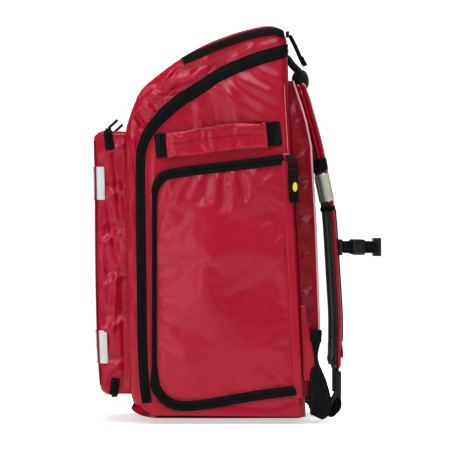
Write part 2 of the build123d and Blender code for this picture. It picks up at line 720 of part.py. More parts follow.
def waist_belt():
    """Webbing of the waist belt hanging beside the back, its free end folded over at the top."""
    root = rear_base + belt_off
    face = side_face([(root + y, z) for y, z in belt_outline], belt_radii)
    leaf = across(face, belt_side, belt_side + belt_thick)
    save("waist_belt_right", leaf)
    save("waist_belt_left", mirrored(leaf))


os.makedirs("parts", exist_ok=True)
body_pieces()
inside_pieces()
side_doors()
cover_pieces()
front_pocket()
side_sliders()
top_slider()
main_sliders()
side_handles()
grab_handle()
back_panel()
shoulder_straps()
lower_webbing()
sternum_strap()
waist_belt()
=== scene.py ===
# %% [markdown]
# # A red tarpaulin trauma backpack
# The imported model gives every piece's place and how it moves. This notebook sews the looks around it: soft skins,
# zips, webbing, padding and stitching. Lengths inside the helpers are millimetres, and meshes are written in metres.

# %% Load the frame
import json
import bpy
import numpy as np
from mathutils import Matrix, Vector


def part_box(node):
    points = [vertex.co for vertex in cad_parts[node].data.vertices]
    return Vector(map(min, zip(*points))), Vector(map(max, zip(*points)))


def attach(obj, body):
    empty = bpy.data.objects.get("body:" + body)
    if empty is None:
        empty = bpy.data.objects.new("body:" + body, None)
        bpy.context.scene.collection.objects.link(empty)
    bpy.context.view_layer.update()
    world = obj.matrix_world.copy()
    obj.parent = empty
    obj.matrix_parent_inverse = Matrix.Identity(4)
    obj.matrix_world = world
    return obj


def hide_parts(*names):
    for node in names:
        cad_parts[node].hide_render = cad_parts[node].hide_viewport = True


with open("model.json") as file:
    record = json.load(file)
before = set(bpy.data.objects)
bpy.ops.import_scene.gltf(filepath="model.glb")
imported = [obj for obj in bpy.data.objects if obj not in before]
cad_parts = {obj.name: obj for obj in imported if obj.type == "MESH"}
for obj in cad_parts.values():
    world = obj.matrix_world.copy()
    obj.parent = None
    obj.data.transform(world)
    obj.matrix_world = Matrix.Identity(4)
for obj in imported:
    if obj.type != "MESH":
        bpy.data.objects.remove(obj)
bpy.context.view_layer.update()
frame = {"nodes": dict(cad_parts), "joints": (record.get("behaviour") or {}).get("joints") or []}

MM = 0.001

# %% [markdown]
# ## Curves and surfaces
# A bag is sheets of cloth. Each sheet here is a grid: a function of two parameters worked out as whole arrays.
# Paths are smooth curves through a few chosen points, resampled at equal steps so that the cells stay even.


# %% Curves
def spaced(points, count):
    """Points at equal arc-length steps along a polyline: each coordinate is interpolated over the running length."""
    points = np.asarray(points, float)
    steps = np.linalg.norm(np.diff(points, axis=0), axis=1)
    run = np.concatenate([[0], np.cumsum(steps)])
    at = np.linspace(0, run[-1], count)
    return np.stack([np.interp(at, run, points[:, k]) for k in range(points.shape[1])], axis=1)


def curve(points, count, dense=40):
    """A Catmull-Rom curve: each span is a cubic whose end slopes are half the chord of the neighbours."""
    p = np.asarray(points, float)
    p = np.concatenate([[2 * p[0] - p[1]], p, [2 * p[-1] - p[-2]]])
    t = np.linspace(0, 1, dense, endpoint=False)[:, None]
    spans = []
    for a, b, c, d in zip(p, p[1:], p[2:], p[3:]):
        spans.append(0.5 * (2 * b + (c - a) * t + (2 * a - 5 * b + 4 * c - d) * t**2 + (3 * b - a - 3 * c + d) * t**3))
    return spaced(np.concatenate(spans + [p[-2][None]]), count)


def unit(v):
    """Vectors scaled to length one."""
    return v / np.maximum(np.linalg.norm(v, axis=-1, keepdims=True), 1e-9)


def eased(x, low, high):
    """Rises smoothly from 0 at low to 1 at high: 3t^2 - 2t^3."""
    t = np.clip((x - low) / (high - low), 0, 1)
    return t * t * (3 - 2 * t)


# %% Grids to meshes
def write_mesh(name, verts, faces, uv=None):
    """A mesh object at the origin from vertices in millimetres, quads or triangles as arrays, and a UV per corner."""
    mesh = bpy.data.meshes.new(name)
    corners = faces.shape[1]
    mesh.vertices.add(len(verts))
    mesh.vertices.foreach_set("co", (np.asarray(verts) * MM).astype(np.float32).ravel())
    mesh.loops.add(faces.size)
    mesh.loops.foreach_set("vertex_index", faces.astype(np.int32).ravel())
    mesh.polygons.add(len(faces))
    mesh.polygons.foreach_set("loop_start", np.arange(0, faces.size, corners, dtype=np.int32))
    if uv is not None:
        layer = mesh.uv_layers.new(name="UVMap")
        layer.data.foreach_set("uv", (uv[faces.ravel()] * MM).astype(np.float32).ravel())
    mesh.update(calc_edges=True)
    mesh.validate()
    mesh.polygons.foreach_set("use_smooth", np.ones(len(mesh.polygons), bool))
    obj = bpy.data.objects.new(name, mesh)
    bpy.context.scene.collection.objects.link(obj)
    return obj


def grid_faces(rows, cols, loop_u=False):
    """Quads of a grid, wrapping round in its columns when loop_u is set."""
    last = cols if loop_u else cols - 1
    i, j = np.meshgrid(np.arange(rows - 1), np.arange(last), indexing="ij")
    k = (j + 1) % cols
    return np.stack([i * cols + j, i * cols + k, (i + 1) * cols + k, (i + 1) * cols + j], axis=-1).reshape(-1, 4)


def facing(verts, faces, towards):
    """The faces, turned over when their summed normal looks away from towards."""
    a, b, c = verts[faces[:, 0]], verts[faces[:, 1]], verts[faces[:, 2]]
    total = np.cross(b - a, c - a)
    if callable(towards):
        ok = (total * towards((a + c) / 2)).sum() > 0
    else:
        ok = (total.sum(axis=0) * np.asarray(towards)).sum() > 0
    return faces if ok else faces[:, ::-1]


def grid_uv(points):
    """Running lengths along a grid's middle row and middle column, as its UV map."""
    rows, cols = points.shape[:2]
    across = np.concatenate([[0], np.cumsum(np.linalg.norm(np.diff(points[rows // 2], axis=0), axis=1))])
    along = np.concatenate([[0], np.cumsum(np.linalg.norm(np.diff(points[:, cols // 2], axis=0), axis=1))])
    return np.stack(np.meshgrid(across, along), axis=-1).reshape(-1, 2)


def dress(obj, body, material, nodes=(), levels=0, thick=0.0, back=None):
    """Give a piece its material, the body it rides on, the CAD nodes it stands for, and finishing modifiers."""
    obj.data.materials.append(material)
    if back is not None:
        obj.data.materials.append(back)
    if thick:
        wall = obj.modifiers.new("wall", "SOLIDIFY")
        wall.thickness = thick * MM
        wall.offset = -1
        if back is not None:
            wall.material_offset = 1
    if levels:
        sub = obj.modifiers.new("smooth", "SUBSURF")
        sub.levels = levels
        sub.render_levels = levels
    if body:
        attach(obj, body)
    if nodes:
        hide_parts(*nodes)
    return obj


def sheet_mesh(name, points, towards, keep=None):
    """An open sheet from a grid of points, looking towards a direction, without the faces that keep refuses."""
    verts = points.reshape(-1, 3)
    faces = grid_faces(*points.shape[:2])
    if keep is not None:
        faces = faces[keep(verts[faces])]
    faces = facing(verts, faces, towards)
    uv = grid_uv(points)
    used, faces = np.unique(faces, return_inverse=True)
    faces = faces.reshape(-1, 4)
    return write_mesh(name, verts[used], faces, uv[used])


def tube_mesh(name, rings):
    """A closed form from rings of points (rows, around, 3): the rings' skin and a fan over each end."""
    rows, around = rings.shape[:2]
    verts = np.concatenate([rings.reshape(-1, 3), rings[0].mean(0)[None], rings[-1].mean(0)[None]])
    faces = grid_faces(rows, around, loop_u=True)
    k = np.arange(around)
    nxt = (k + 1) % around
    first, last = rows * around, rows * around + 1
    fan0 = np.stack([np.full(around, first), nxt, k, k], axis=1)
    fan1 = np.stack([np.full(around, last), (rows - 1) * around + k, (rows - 1) * around + nxt,
                     (rows - 1) * around + nxt], axis=1)
    quads = np.concatenate([faces, fan0, fan1])
    a, b, c, d = (verts[quads[:, n]] for n in range(4))
    volume = (np.cross(b - a, c - a) * a).sum() + (np.cross(c - a, d - a) * a).sum()
    if volume < 0:
        quads = quads[:, ::-1]
    around_run = np.concatenate([[0], np.cumsum(np.linalg.norm(np.diff(rings[rows // 2], axis=0), axis=1))])
    along_run = np.concatenate([[0], np.cumsum(np.linalg.norm(np.diff(rings.mean(1), axis=0), axis=1))])
    uv = np.stack(np.meshgrid(around_run, along_run), axis=-1).reshape(-1, 2)
    uv = np.concatenate([uv, uv[:1], uv[-1:]])
    mesh = bpy.data.meshes.new(name)
    solid = [tuple(dict.fromkeys(q)) for q in quads.tolist()]
    mesh.from_pydata((verts * MM).tolist(), [], solid)
    loops = np.empty(len(mesh.loops), np.int32)
    mesh.loops.foreach_get("vertex_index", loops)
    layer = mesh.uv_layers.new(name="UVMap")
    layer.data.foreach_set("uv", (uv[loops] * MM).astype(np.float32).ravel())
    mesh.polygons.foreach_set("use_smooth", np.ones(len(mesh.polygons), bool))
    obj = bpy.data.objects.new(name, mesh)
    bpy.context.scene.collection.objects.link(obj)
    return obj


def frames_along(path, side):
    """Unit tangent, side and normal at each point of a path, with the side kept as near as can be to the one given."""
    tangent = unit(np.gradient(path, axis=0))
    side = np.broadcast_to(np.asarray(side, float), path.shape)
    side = unit(side - (side * tangent).sum(1, keepdims=True) * tangent)
    return tangent, side, np.cross(tangent, side)


def strap(name, path, side, width, thick, power=5, around=20, ends=0.6):
    """Flat webbing: a superellipse section, |a/w|^p + |b/t|^p = 1, carried along a path and rounded at both ends."""
    path = np.asarray(path, float)
    tangent, sideways, normal = frames_along(path, side)
    run = np.concatenate([[0], np.cumsum(np.linalg.norm(np.diff(path, axis=0), axis=1))])
    width = np.broadcast_to(np.asarray(width, float), run.shape)
    thick = np.broadcast_to(np.asarray(thick, float), run.shape)
    near = np.minimum(run, run[-1] - run) / (ends * thick.max())
    taper = np.sqrt(np.clip(1 - (1 - np.clip(near, 0, 1)) ** 2, 0.02, 1))
    turn = np.linspace(0, 2 * np.pi, around, endpoint=False)
    cosine, sine = np.cos(turn), np.sin(turn)
    a = np.sign(cosine) * np.abs(cosine) ** (2 / power)
    b = np.sign(sine) * np.abs(sine) ** (2 / min(power, 3))
    half_w = (width / 2 * (0.9 + 0.1 * taper))[:, None, None]
    half_t = (thick / 2 * taper)[:, None, None]
    rings = path[:, None] + half_w * a[None, :, None] * sideways[:, None] + half_t * b[None, :, None] * normal[:, None]
    return tube_mesh(name, rings)


def cord_tube(name, path, radius, around=8):
    """A thin round tube along a path, for piping and thread."""
    path = np.asarray(path, float)
    pick = np.array([0.3, 0.5, 0.8]) if np.ptp(path, axis=0).argmax() != 2 else np.array([1.0, 0.2, 0])
    _, sideways, normal = frames_along(path, pick)
    turn = np.linspace(0, 2 * np.pi, around, endpoint=False)[None, :, None]
    rings = path[:, None] + radius * (np.cos(turn) * sideways[:, None] + np.sin(turn) * normal[:, None])
    return tube_mesh(name, rings)


# %% [markdown]
# ## Stitching
# A seam is a row of short thread lengths. Each is a slim six-sided bead, lying on the cloth and pointing along the
# seam. All the beads of a row are one mesh, made by adding one bead's points to every place at once.


# %% Stitches
def stitches(name, path, normal, body, material, pitch=4.2, length=2.9, radius=0.42):
    """Beads of thread along a path: a stretched hexagonal spindle repeated at each pitch."""
    path = np.asarray(path, float)
    total = np.linalg.norm(np.diff(path, axis=0), axis=1).sum()
    count = max(int(total / pitch), 2)
    fine = spaced(np.concatenate([path, np.broadcast_to(normal, path.shape)], axis=1), 2 * count + 1)
    at, up = fine[1::2, :3], unit(fine[1::2, 3:])
    along = unit(fine[2::2, :3] - fine[0:-1:2, :3])
    side = np.cross(along, up)
    turn = np.arange(6) * np.pi / 3
    ring = np.cos(turn)[:, None, None] * side + np.sin(turn)[:, None, None] * up
    stations = ((-0.5, 0.25), (-0.3, 1.0), (0.3, 1.0), (0.5, 0.25))
    rings = [at + along * length * s + ring * radius * r for s, r in stations]
    verts = np.stack(rings).reshape(4, 6, count, 3).transpose(2, 0, 1, 3).reshape(-1, 3)
    one = grid_faces(4, 6, loop_u=True)
    caps = np.array([[0, 5, 4, 3], [0, 3, 2, 1], [18, 19, 20, 21], [18, 21, 22, 23]])
    bead = np.concatenate([one[:, ::-1], caps[:, ::-1]])
    faces = (bead[None] + 24 * np.arange(count)[:, None, None]).reshape(-1, 4)
    centre = at.repeat(24, axis=0)
    faces = facing(verts, faces, lambda p: p - centre.reshape(-1, 24, 3)[:, 0].repeat(len(bead), axis=0))
    obj = write_mesh(name, verts, faces)
    return dress(obj, body, material)


# %% [markdown]
# ## Materials
# Every finish is built from nodes: coated tarpaulin with its faint scrim weave and creases, ribbed webbing, zip tape,
# spacer mesh, glass-bead reflective tape, moulded plastic and lacquered metal. The cloths read the piece's own UV map,
# which holds lengths, so a weave has its true size wherever it is.


# %% Node helpers
def add(tree, kind, **values):
    """A node with its settings, and inputs set by name through values whose key starts with in_."""
    node = tree.nodes.new(kind)
    for key, value in values.items():
        if key.startswith("in_"):
            node.inputs[key[3:].replace("_", " ")].default_value = value
        else:
            setattr(node, key, value)
    return node


def start_material(name, colour, roughness, metallic=0.0):
    """A material with a principled shader, and the sockets that its pattern is linked to."""
    material = bpy.data.materials.new(name)
    material.use_nodes = True
    tree = material.node_tree
    shader = tree.nodes["Principled BSDF"]
    shader.inputs["Base Color"].default_value = (*colour, 1)
    shader.inputs["Roughness"].default_value = roughness
    shader.inputs["Metallic"].default_value = metallic
    return material, tree, shader


def tint(tree, shader, factor, low, high):
    """Blend two colours by a pattern and send them to the shader."""
    mix = add(tree, "ShaderNodeMix", data_type="RGBA")
    mix.inputs["A"].default_value = (*low, 1)
    mix.inputs["B"].default_value = (*high, 1)
    tree.links.new(factor, mix.inputs["Factor"])
    tree.links.new(mix.outputs["Result"], shader.inputs["Base Color"])
    return mix


def spread(tree, factor, low, high):
    """Map a pattern's 0 to 1 onto a range."""
    node = add(tree, "ShaderNodeMapRange", in_To_Min=low, in_To_Max=high)
    tree.links.new(factor, node.inputs["Value"])
    return node.outputs["Result"]


def bumped(tree, shader, layers):
    """Stack bumps, each (height socket, strength, distance in metres), and link the last to the shader's normal."""
    normal = None
    for height, strength, distance in layers:
        bump = add(tree, "ShaderNodeBump", in_Strength=strength, in_Distance=distance)
        tree.links.new(height, bump.inputs["Height"])
        if normal is not None:
            tree.links.new(normal, bump.inputs["Normal"])
        normal = bump.outputs["Normal"]
    tree.links.new(normal, shader.inputs["Normal"])


def noise(tree, scale, detail=3.0, rough=0.5, stretch=None, uv=False, distort=0.0):
    """Noise over object or UV coordinates in metres, stretched by a scale on each axis."""
    coords = add(tree, "ShaderNodeTexCoord")
    vector = coords.outputs["UV" if uv else "Object"]
    if stretch:
        mapping = add(tree, "ShaderNodeMapping", in_Scale=stretch)
        tree.links.new(vector, mapping.inputs["Vector"])
        vector = mapping.outputs["Vector"]
    node = add(tree, "ShaderNodeTexNoise", in_Scale=scale, in_Detail=detail, in_Roughness=rough, in_Distortion=distort)
    tree.links.new(vector, node.inputs["Vector"])
    return node.outputs["Fac"]


def ribs(tree, pitch, axis, profile="SIN"):
    """Waves across the UV map, one every pitch metres along U (X) or V (Y)."""
    coords = add(tree, "ShaderNodeTexCoord")
    wave = add(tree, "ShaderNodeTexWave", wave_type="BANDS", bands_direction=axis, wave_profile=profile,
               in_Scale=0.314159 / pitch)
    tree.links.new(coords.outputs["UV"], wave.inputs["Vector"])
    return wave.outputs["Fac"]


def combine(tree, operation, a, b):
    """Two patterns joined by a math operation."""
    node = add(tree, "ShaderNodeMath", operation=operation)
    tree.links.new(a, node.inputs[0])
    if isinstance(b, (int, float)):
        node.inputs[1].default_value = b
    else:
        tree.links.new(b, node.inputs[1])
    return node.outputs[0]


# %% Coated tarpaulin
def tarpaulin(name, dark, light, rough=(0.30, 0.46), gloss=0.34):
    """PVC over a woven scrim: glossy coat, faint grid, fine creases and slow changes of colour."""
    material, tree, shader = start_material(name, light, 0.4)
    clouds = noise(tree, 9, 5, 0.6)
    tint(tree, shader, clouds, dark, light)
    tree.links.new(spread(tree, noise(tree, 26, 4, 0.6), *rough), shader.inputs["Roughness"])
    scrim = combine(tree, "ADD", ribs(tree, 0.0016, "X"), ribs(tree, 0.0016, "Y"))
    creases = noise(tree, 32, 4, 0.55, distort=0.6)
    grain = noise(tree, 900, 2)
    bumped(tree, shader, [(creases, 0.30, 0.0022), (scrim, 0.12, 0.0002), (grain, 0.08, 0.0002)])
    shader.inputs["Coat Weight"].default_value = 0.4 * gloss
    shader.inputs["Coat Roughness"].default_value = 0.22
    shader.inputs["Specular IOR Level"].default_value = gloss
    return material


red = tarpaulin("tarpaulin_red", (0.32, 0.002, 0.020), (0.44, 0.004, 0.034), (0.24, 0.38))
# The same red tarpaulin made darker: painted shade for the back gusset, base, pad ends, pocket piping and lower rear
# seams.
red_painted_shade = tarpaulin("tarpaulin_red_painted_shade", (0.15, 0.001, 0.008), (0.26, 0.003, 0.016), (0.26, 0.42), 0.2)
# Red piping coloured pale pink: a painted highlight of light glancing along its edge.
piping = tarpaulin("piping_painted_highlight", (0.55, 0.22, 0.25), (0.74, 0.42, 0.45), (0.25, 0.4))


# %% Woven black goods
def woven(name, dark, light, pitch, cross, strength=0.6, sheen=0.25, roughness=0.78):
    """Webbing or tape: ribs across the strap and finer ones along it, worn lighter on the ribs' backs."""
    material, tree, shader = start_material(name, light, roughness)
    weave = combine(tree, "MULTIPLY", ribs(tree, pitch, "Y"), ribs(tree, cross, "X"))
    worn = combine(tree, "MULTIPLY", weave, noise(tree, 60, 4, 0.65))
    tint(tree, shader, worn, dark, light)
    tree.links.new(spread(tree, weave, roughness - 0.12, roughness + 0.1), shader.inputs["Roughness"])
    bumped(tree, shader, [(noise(tree, 90, 3), 0.25, 0.0008), (weave, strength, 0.0005)])
    shader.inputs["Specular IOR Level"].default_value = 0.16
    shader.inputs["Sheen Weight"].default_value = 0.15 * sheen
    shader.inputs["Sheen Roughness"].default_value = 0.4
    return material


webbing = woven("webbing_black", (0.002, 0.002, 0.002), (0.009, 0.009, 0.0095), 0.0016, 0.0024)
tape = woven("zip_tape_black", (0.002, 0.002, 0.002), (0.007, 0.007, 0.0075), 0.0011, 0.0009, 0.4, 0.15, 0.7)
binding = woven("binding_black", (0.003, 0.003, 0.003), (0.011, 0.011, 0.012), 0.001, 0.001, 0.35)
lining = woven("lining_grey", (0.025, 0.026, 0.03), (0.07, 0.072, 0.08), 0.0012, 0.0012, 0.35, 0.1)
grey_mesh = woven("handle_grey", (0.018, 0.018, 0.02), (0.10, 0.10, 0.105), 0.0022, 0.0022, 0.8, 0.4)


# %% Spacer mesh
def spacer_mesh(name, dark, light):
    """Padded mesh: rounded cells with dark holes between threads."""
    material, tree, shader = start_material(name, light, 0.85)
    coords = add(tree, "ShaderNodeTexCoord")
    cells = add(tree, "ShaderNodeTexVoronoi", feature="DISTANCE_TO_EDGE", in_Scale=330.0, in_Randomness=0.25)
    tree.links.new(coords.outputs["UV"], cells.inputs["Vector"])
    holes = spread(tree, cells.outputs["Distance"], 1.0, 0.0)
    tint(tree, shader, holes, dark, light)
    bumped(tree, shader, [(noise(tree, 45, 3), 0.3, 0.001), (holes, 0.7, 0.0006)])
    shader.inputs["Sheen Weight"].default_value = 0.3
    return material


mesh_black = spacer_mesh("spacer_mesh_black", (0.002, 0.002, 0.002), (0.010, 0.010, 0.0105))


# %% Reflective tape
def reflective(name, dark, light):
    """Glass-bead tape: a pale grey face with a fine diamond net and a soft metallic sheen."""
    material, tree, shader = start_material(name, light, 0.42, 0.25)
    net = combine(tree, "MAXIMUM", ribs(tree, 0.0026, "X"), ribs(tree, 0.0026, "Y"))
    soiled = combine(tree, "MULTIPLY", net, noise(tree, 35, 5, 0.65))
    tint(tree, shader, soiled, dark, light)
    tree.links.new(spread(tree, noise(tree, 70, 4), 0.34, 0.5), shader.inputs["Roughness"])
    bumped(tree, shader, [(noise(tree, 40, 3), 0.25, 0.0014), (net, 0.25, 0.0002)])
    shader.inputs["Coat Weight"].default_value = 0.3
    return material


silver = reflective("reflective_silver", (0.50, 0.52, 0.52), (0.78, 0.80, 0.79))
cream = reflective("reflective_cream", (0.56, 0.58, 0.46), (0.82, 0.83, 0.70))


# %% Moulded and metal parts
def moulded(name, dark, light, roughness, metallic=0.0, grain=650):
    """Hard parts: slightly pebbled, smoother and lighter where they are handled."""
    material, tree, shader = start_material(name, light, roughness, metallic)
    patches = noise(tree, 70, 5, 0.6)
    tint(tree, shader, patches, dark, light)
    tree.links.new(spread(tree, noise(tree, 160, 3), roughness - 0.1, roughness + 0.1), shader.inputs["Roughness"])
    bumped(tree, shader, [(noise(tree, grain, 2), 0.2, 0.0002), (noise(tree, 60, 2), 0.1, 0.0006)])
    return material


plastic = moulded("acetal_black", (0.003, 0.003, 0.003), (0.012, 0.012, 0.013), 0.42)
metal = moulded("slider_lacquer", (0.006, 0.006, 0.006), (0.03, 0.03, 0.032), 0.34, 0.6)
board_plastic = moulded("board_grey", (0.02, 0.02, 0.022), (0.05, 0.05, 0.055), 0.55)
yellow = moulded("dot_yellow", (0.62, 0.50, 0.02), (0.80, 0.66, 0.03), 0.45)
thread_red = moulded("thread_red", (0.10, 0.002, 0.006), (0.22, 0.006, 0.018), 0.7)
thread_black = moulded("thread_black", (0.01, 0.01, 0.01), (0.05, 0.05, 0.05), 0.75)
print("materials", len(bpy.data.materials))

# %% [markdown]
# ## Camera, light and floor
# A long lens square to the bag's right side, at half its height, as a catalogue picture is taken. Big soft lights
# stand at the camera's left and right, and the floor and backdrop are nearly white.

# %% Camera
view_height = 0.2895
view_span = 0.678
distance = 5.2
near_side = 0.18
camera_data = bpy.data.cameras.new("camera")
camera_data.sensor_width = 36
camera_data.lens = 36 * distance / view_span
camera = bpy.data.objects.new("camera", camera_data)
camera.location = (near_side + distance, -0.0015, view_height)
camera.rotation_euler = (np.pi / 2, 0, np.pi / 2)
bpy.context.scene.collection.objects.link(camera)
bpy.context.scene.camera = camera


# %% Lights and backdrop
def soft_light(name, place, target, size, power, colour=(1, 1, 1)):
    """A square area light at a place, looking at a target."""
    data = bpy.data.lights.new(name, "AREA")
    data.shape = "RECTANGLE"
    data.size, data.size_y = size
    data.energy = power
    data.color = colour
    light = bpy.data.objects.new(name, data)
    look = Vector(target) - Vector(place)
    light.matrix_world = Matrix.Translation(place) @ look.to_track_quat("-Z", "Y").to_matrix().to_4x4()
    bpy.context.scene.collection.objects.link(light)
    return light


soft_light("key", (1.5, -1.8, 1.6), (0, 0, 0.4), (0.9, 1.1), 18)
soft_light("front", (2.1, 0.2, 2.0), (0.1, 0, 0.5), (1.1, 0.7), 23)
soft_light("fill", (2.6, 1.5, 0.7), (0, 0, 0.3), (0.5, 1.4), 3)
soft_light("top", (0.3, -0.1, 2.2), (0, 0, 0.3), (1.1, 1.3), 25)
soft_light("back", (-1.6, 0.6, 1.4), (0, 0, 0.4), (1.2, 1.2), 16)
soft_light("strip", (1.5, -0.6, 0.55), (0.18, 0, 0.35), (0.10, 1.0), 3)

world = bpy.data.worlds.new("world")
bpy.context.scene.world = world
world.use_nodes = True
world_tree = world.node_tree
light_path = add(world_tree, "ShaderNodeLightPath")
sky = add(world_tree, "ShaderNodeMapRange", in_To_Min=0.13, in_To_Max=1.0)
world_tree.links.new(light_path.outputs["Is Camera Ray"], sky.inputs["Value"])
world_tree.nodes["Background"].inputs["Color"].default_value = (1, 1, 1, 1)
world_tree.links.new(sky.outputs["Result"], world_tree.nodes["Background"].inputs["Strength"])
bpy.context.scene.view_settings.view_transform = "Standard"
bpy.context.scene.view_settings.gamma = 0.88

floor_material, floor_tree, floor_shader = start_material("floor_white", (0.93, 0.93, 0.93), 0.75)
floor_shader.inputs["Specular IOR Level"].default_value = 0.1
floor_shader.inputs["Emission Color"].default_value = (1, 1, 1, 1)
glow = add(floor_tree, "ShaderNodeMapRange", in_To_Min=0.22, in_To_Max=0.58)
floor_tree.links.new(add(floor_tree, "ShaderNodeLightPath").outputs["Is Camera Ray"], glow.inputs["Value"])
floor_tree.links.new(glow.outputs["Result"], floor_shader.inputs["Emission Strength"])
tint(floor_tree, floor_shader, noise(floor_tree, 2.0), (0.92, 0.92, 0.92), (0.94, 0.94, 0.94))
sweep_bend = curve([(4.0, 0.0), (-2.2, 0.0), (-2.75, 0.12), (-2.95, 0.6), (-3.0, 2.6)], 60) / MM
sweep = np.stack([np.broadcast_to(sweep_bend[:, :1], (60, 2)), np.broadcast_to([-4000.0, 4000.0], (60, 2)),
                  np.broadcast_to(sweep_bend[:, 1:], (60, 2))], axis=-1)
backdrop = sheet_mesh("backdrop", sweep, (0.3, 0, 1))
backdrop.data.materials.append(floor_material)
print("camera and lights ready")

# %% [markdown]
# ## The bag's lines
# All the skins share four side-view lines: the outline, the main zip, the top pocket's zip, and the side door's
# edge. Each is a smooth curve through a few points (Y, Z). A skin between two of them meets its neighbours exactly.

# %% Side-view lines
half_width = 1000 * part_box("body_shell")[1][0]
edge = 15.0
outline_points = [
    (118.5, 3), (117, 30), (115, 60), (110.5, 171), (104.5, 290), (98.5, 397), (93.5, 480), (90.5, 553), (88.5, 572),
    (80, 586), (61, 590.5), (30, 584.5), (-1, 575), (-38, 559.5), (-70, 541), (-103, 517), (-128, 495), (-139, 474),
    (-147, 452), (-152, 430), (-153, 380), (-152, 250), (-148, 100), (-145, 45), (-138, 20), (-118, 3),
]
outline = curve(outline_points, 700)
main_zip = curve([(90.5, 553), (45, 540), (-1, 521.5), (-42, 496), (-81, 470), (-113, 437), (-126, 411), (-130, 380),
                  (-129.5, 300), (-128, 200), (-127, 117), (-124.5, 60), (-119.5, 21), (-116, 5)], 400)
top_zip = curve([(-67, 536.5), (-38, 550), (-1, 564.5), (30, 575), (61, 581.5), (76, 580.5), (84, 577)], 160)
zips = np.concatenate([main_zip, top_zip])
rear_edge = outline[outline[:, 1] <= 553.0][: np.argmax(outline[:, 1] > 553.0)][::-1]


def nearest(points, line):
    """Distance from each side-view point to a line's nearest point, in blocks to keep memory small."""
    flat = points.reshape(-1, 2)
    parts = [np.sqrt(((block[:, None] - line[None]) ** 2).sum(-1).min(1)) for block in np.array_split(flat, 40)]
    return np.concatenate(parts).reshape(points.shape[:-1])


def inside(points, loop):
    """Whether side-view points lie inside a closed loop, by counting crossings of a ray along +Y."""
    y, z = points[..., 0, None], points[..., 1, None]
    y0, z0 = loop[:, 0], loop[:, 1]
    y1, z1 = np.roll(y0, -1), np.roll(z0, -1)
    with np.errstate(divide="ignore", invalid="ignore"):
        cross = ((z0 > z) != (z1 > z)) & (y < (y1 - y0) * (z - z0) / (z1 - z0) + y0)
    return cross.sum(-1) % 2 == 1


# %% Folds in the side walls
def creases(y, z, folds):
    """Sum of folds. Each is a segment with a width and a height: a bell across it, faded at both ends."""
    total = np.zeros_like(y)
    for y0, z0, y1, z1, wide, high in folds:
        length = np.hypot(y1 - y0, z1 - z0)
        along = ((y - y0) * (y1 - y0) + (z - z0) * (z1 - z0)) / length
        off = ((y - y0) * (z1 - z0) - (z - z0) * (y1 - y0)) / length
        fade = eased(along, -0.15 * length, 0.3 * length) * (1 - eased(along, 0.7 * length, 1.15 * length))
        total += high * np.exp(-((off / wide) ** 2)) * fade
    return total


def ripple(y, z, seed, size, height):
    """Slow unevenness: six sine waves in directions spread round the circle, with phases from a seed."""
    draw = np.random.default_rng(seed)
    angle = np.linspace(0, np.pi, 6, endpoint=False) + draw.uniform(0, 0.5, 6)
    wave = 2 * np.pi / (size * draw.uniform(0.7, 1.5, 6))
    phase = draw.uniform(0, 2 * np.pi, 6)
    total = sum(np.sin(w * (y * np.cos(a) + z * np.sin(a)) + p) for a, w, p in zip(angle, wave, phase))
    return height * total / 3


body_folds = [
    (-20, 505, 70, 440, 15, 6.5), (10, 515, 78, 480, 11, 5.0), (-60, 470, -5, 425, 12, -3.6),
    (-5, 500, 30, 415, 11, 4.4), (-22, 480, -12, 428, 9, -4.0), (40, 525, 85, 505, 9, 2.6), (-45, 478, -38, 425, 8, 3.0),
    (-105, 430, -112, 300, 5, 1.2), (-113, 360, -117, 120, 4, -1.0), (60, 420, 92, 405, 7, -1.5),
    (-60, 14, 20, 9, 5, 2.0), (10, 20, 90, 14, 5, -1.6), (-90, 12, -40, 20, 6, 1.4), (60, 8, 110, 18, 5, 1.6),
]
cover_folds = [
    (-129, 472, -98, 449, 6, 6.5), (-141, 462, -121, 433, 5, -7.5), (-120, 488, -84, 478, 6, 6.0),
    (-97, 507, -35, 513, 6, 5.0), (-70, 524, -12, 534, 5, -4.2), (-60, 508, -22, 536, 5, 4.6),
    (-28, 520, 10, 548, 6, -4.2), (5, 535, 40, 560, 6, 3.6), (-112, 470, -70, 500, 6, -4.8),
    (-104, 500, -82, 522, 4, 4.2), (-88, 508, -62, 538, 4, -3.8), (-48, 520, -30, 546, 4, 3.2),
    (-134, 480, -112, 498, 4, -4.0), (-146, 452, -128, 470, 4, 4.5),
    (-145, 430, -133, 385, 4, 4.2), (-148, 415, -138, 340, 4, -3.6), (-149, 330, -134, 270, 4, 3.4),
    (-147, 250, -136, 200, 4, -3.0), (-146, 180, -133, 120, 4, 3.2), (-140, 100, -131, 50, 4, -2.8),
    (45, 556, 78, 566, 5, 2.4), (-88, 490, -50, 500, 5, -3.6),
]


def wall_x(y, z, folds=(), seed=1, rough=0.5, radius=edge):
    """Distance of the side wall from the middle: flat, rounded near the outline, with its folds and unevenness."""
    points = np.stack([y, z], axis=-1)
    depth = nearest(points, outline)
    inset = np.clip(radius - depth, 0, radius)
    rounded = half_width - radius + np.sqrt(np.clip(radius**2 - inset**2, 0, None))
    soft = eased(depth, 0, 7) * eased(nearest(points, zips), 6, 14)
    return rounded - 1.5 + soft * (creases(y, z, folds) + ripple(y, z, seed, 95, rough))


def mirror_grid(points):
    """The same grid on the wearer's left."""
    return points * np.array([-1.0, 1.0, 1.0])


def ruled(start, end, columns, lean=1.0):
    """Side-view points on straight lines from each point of one line to the matching point of another."""
    t = np.linspace(0, 1, columns)[None, :, None] ** lean
    return start[:, None] * (1 - t) + end[:, None] * t


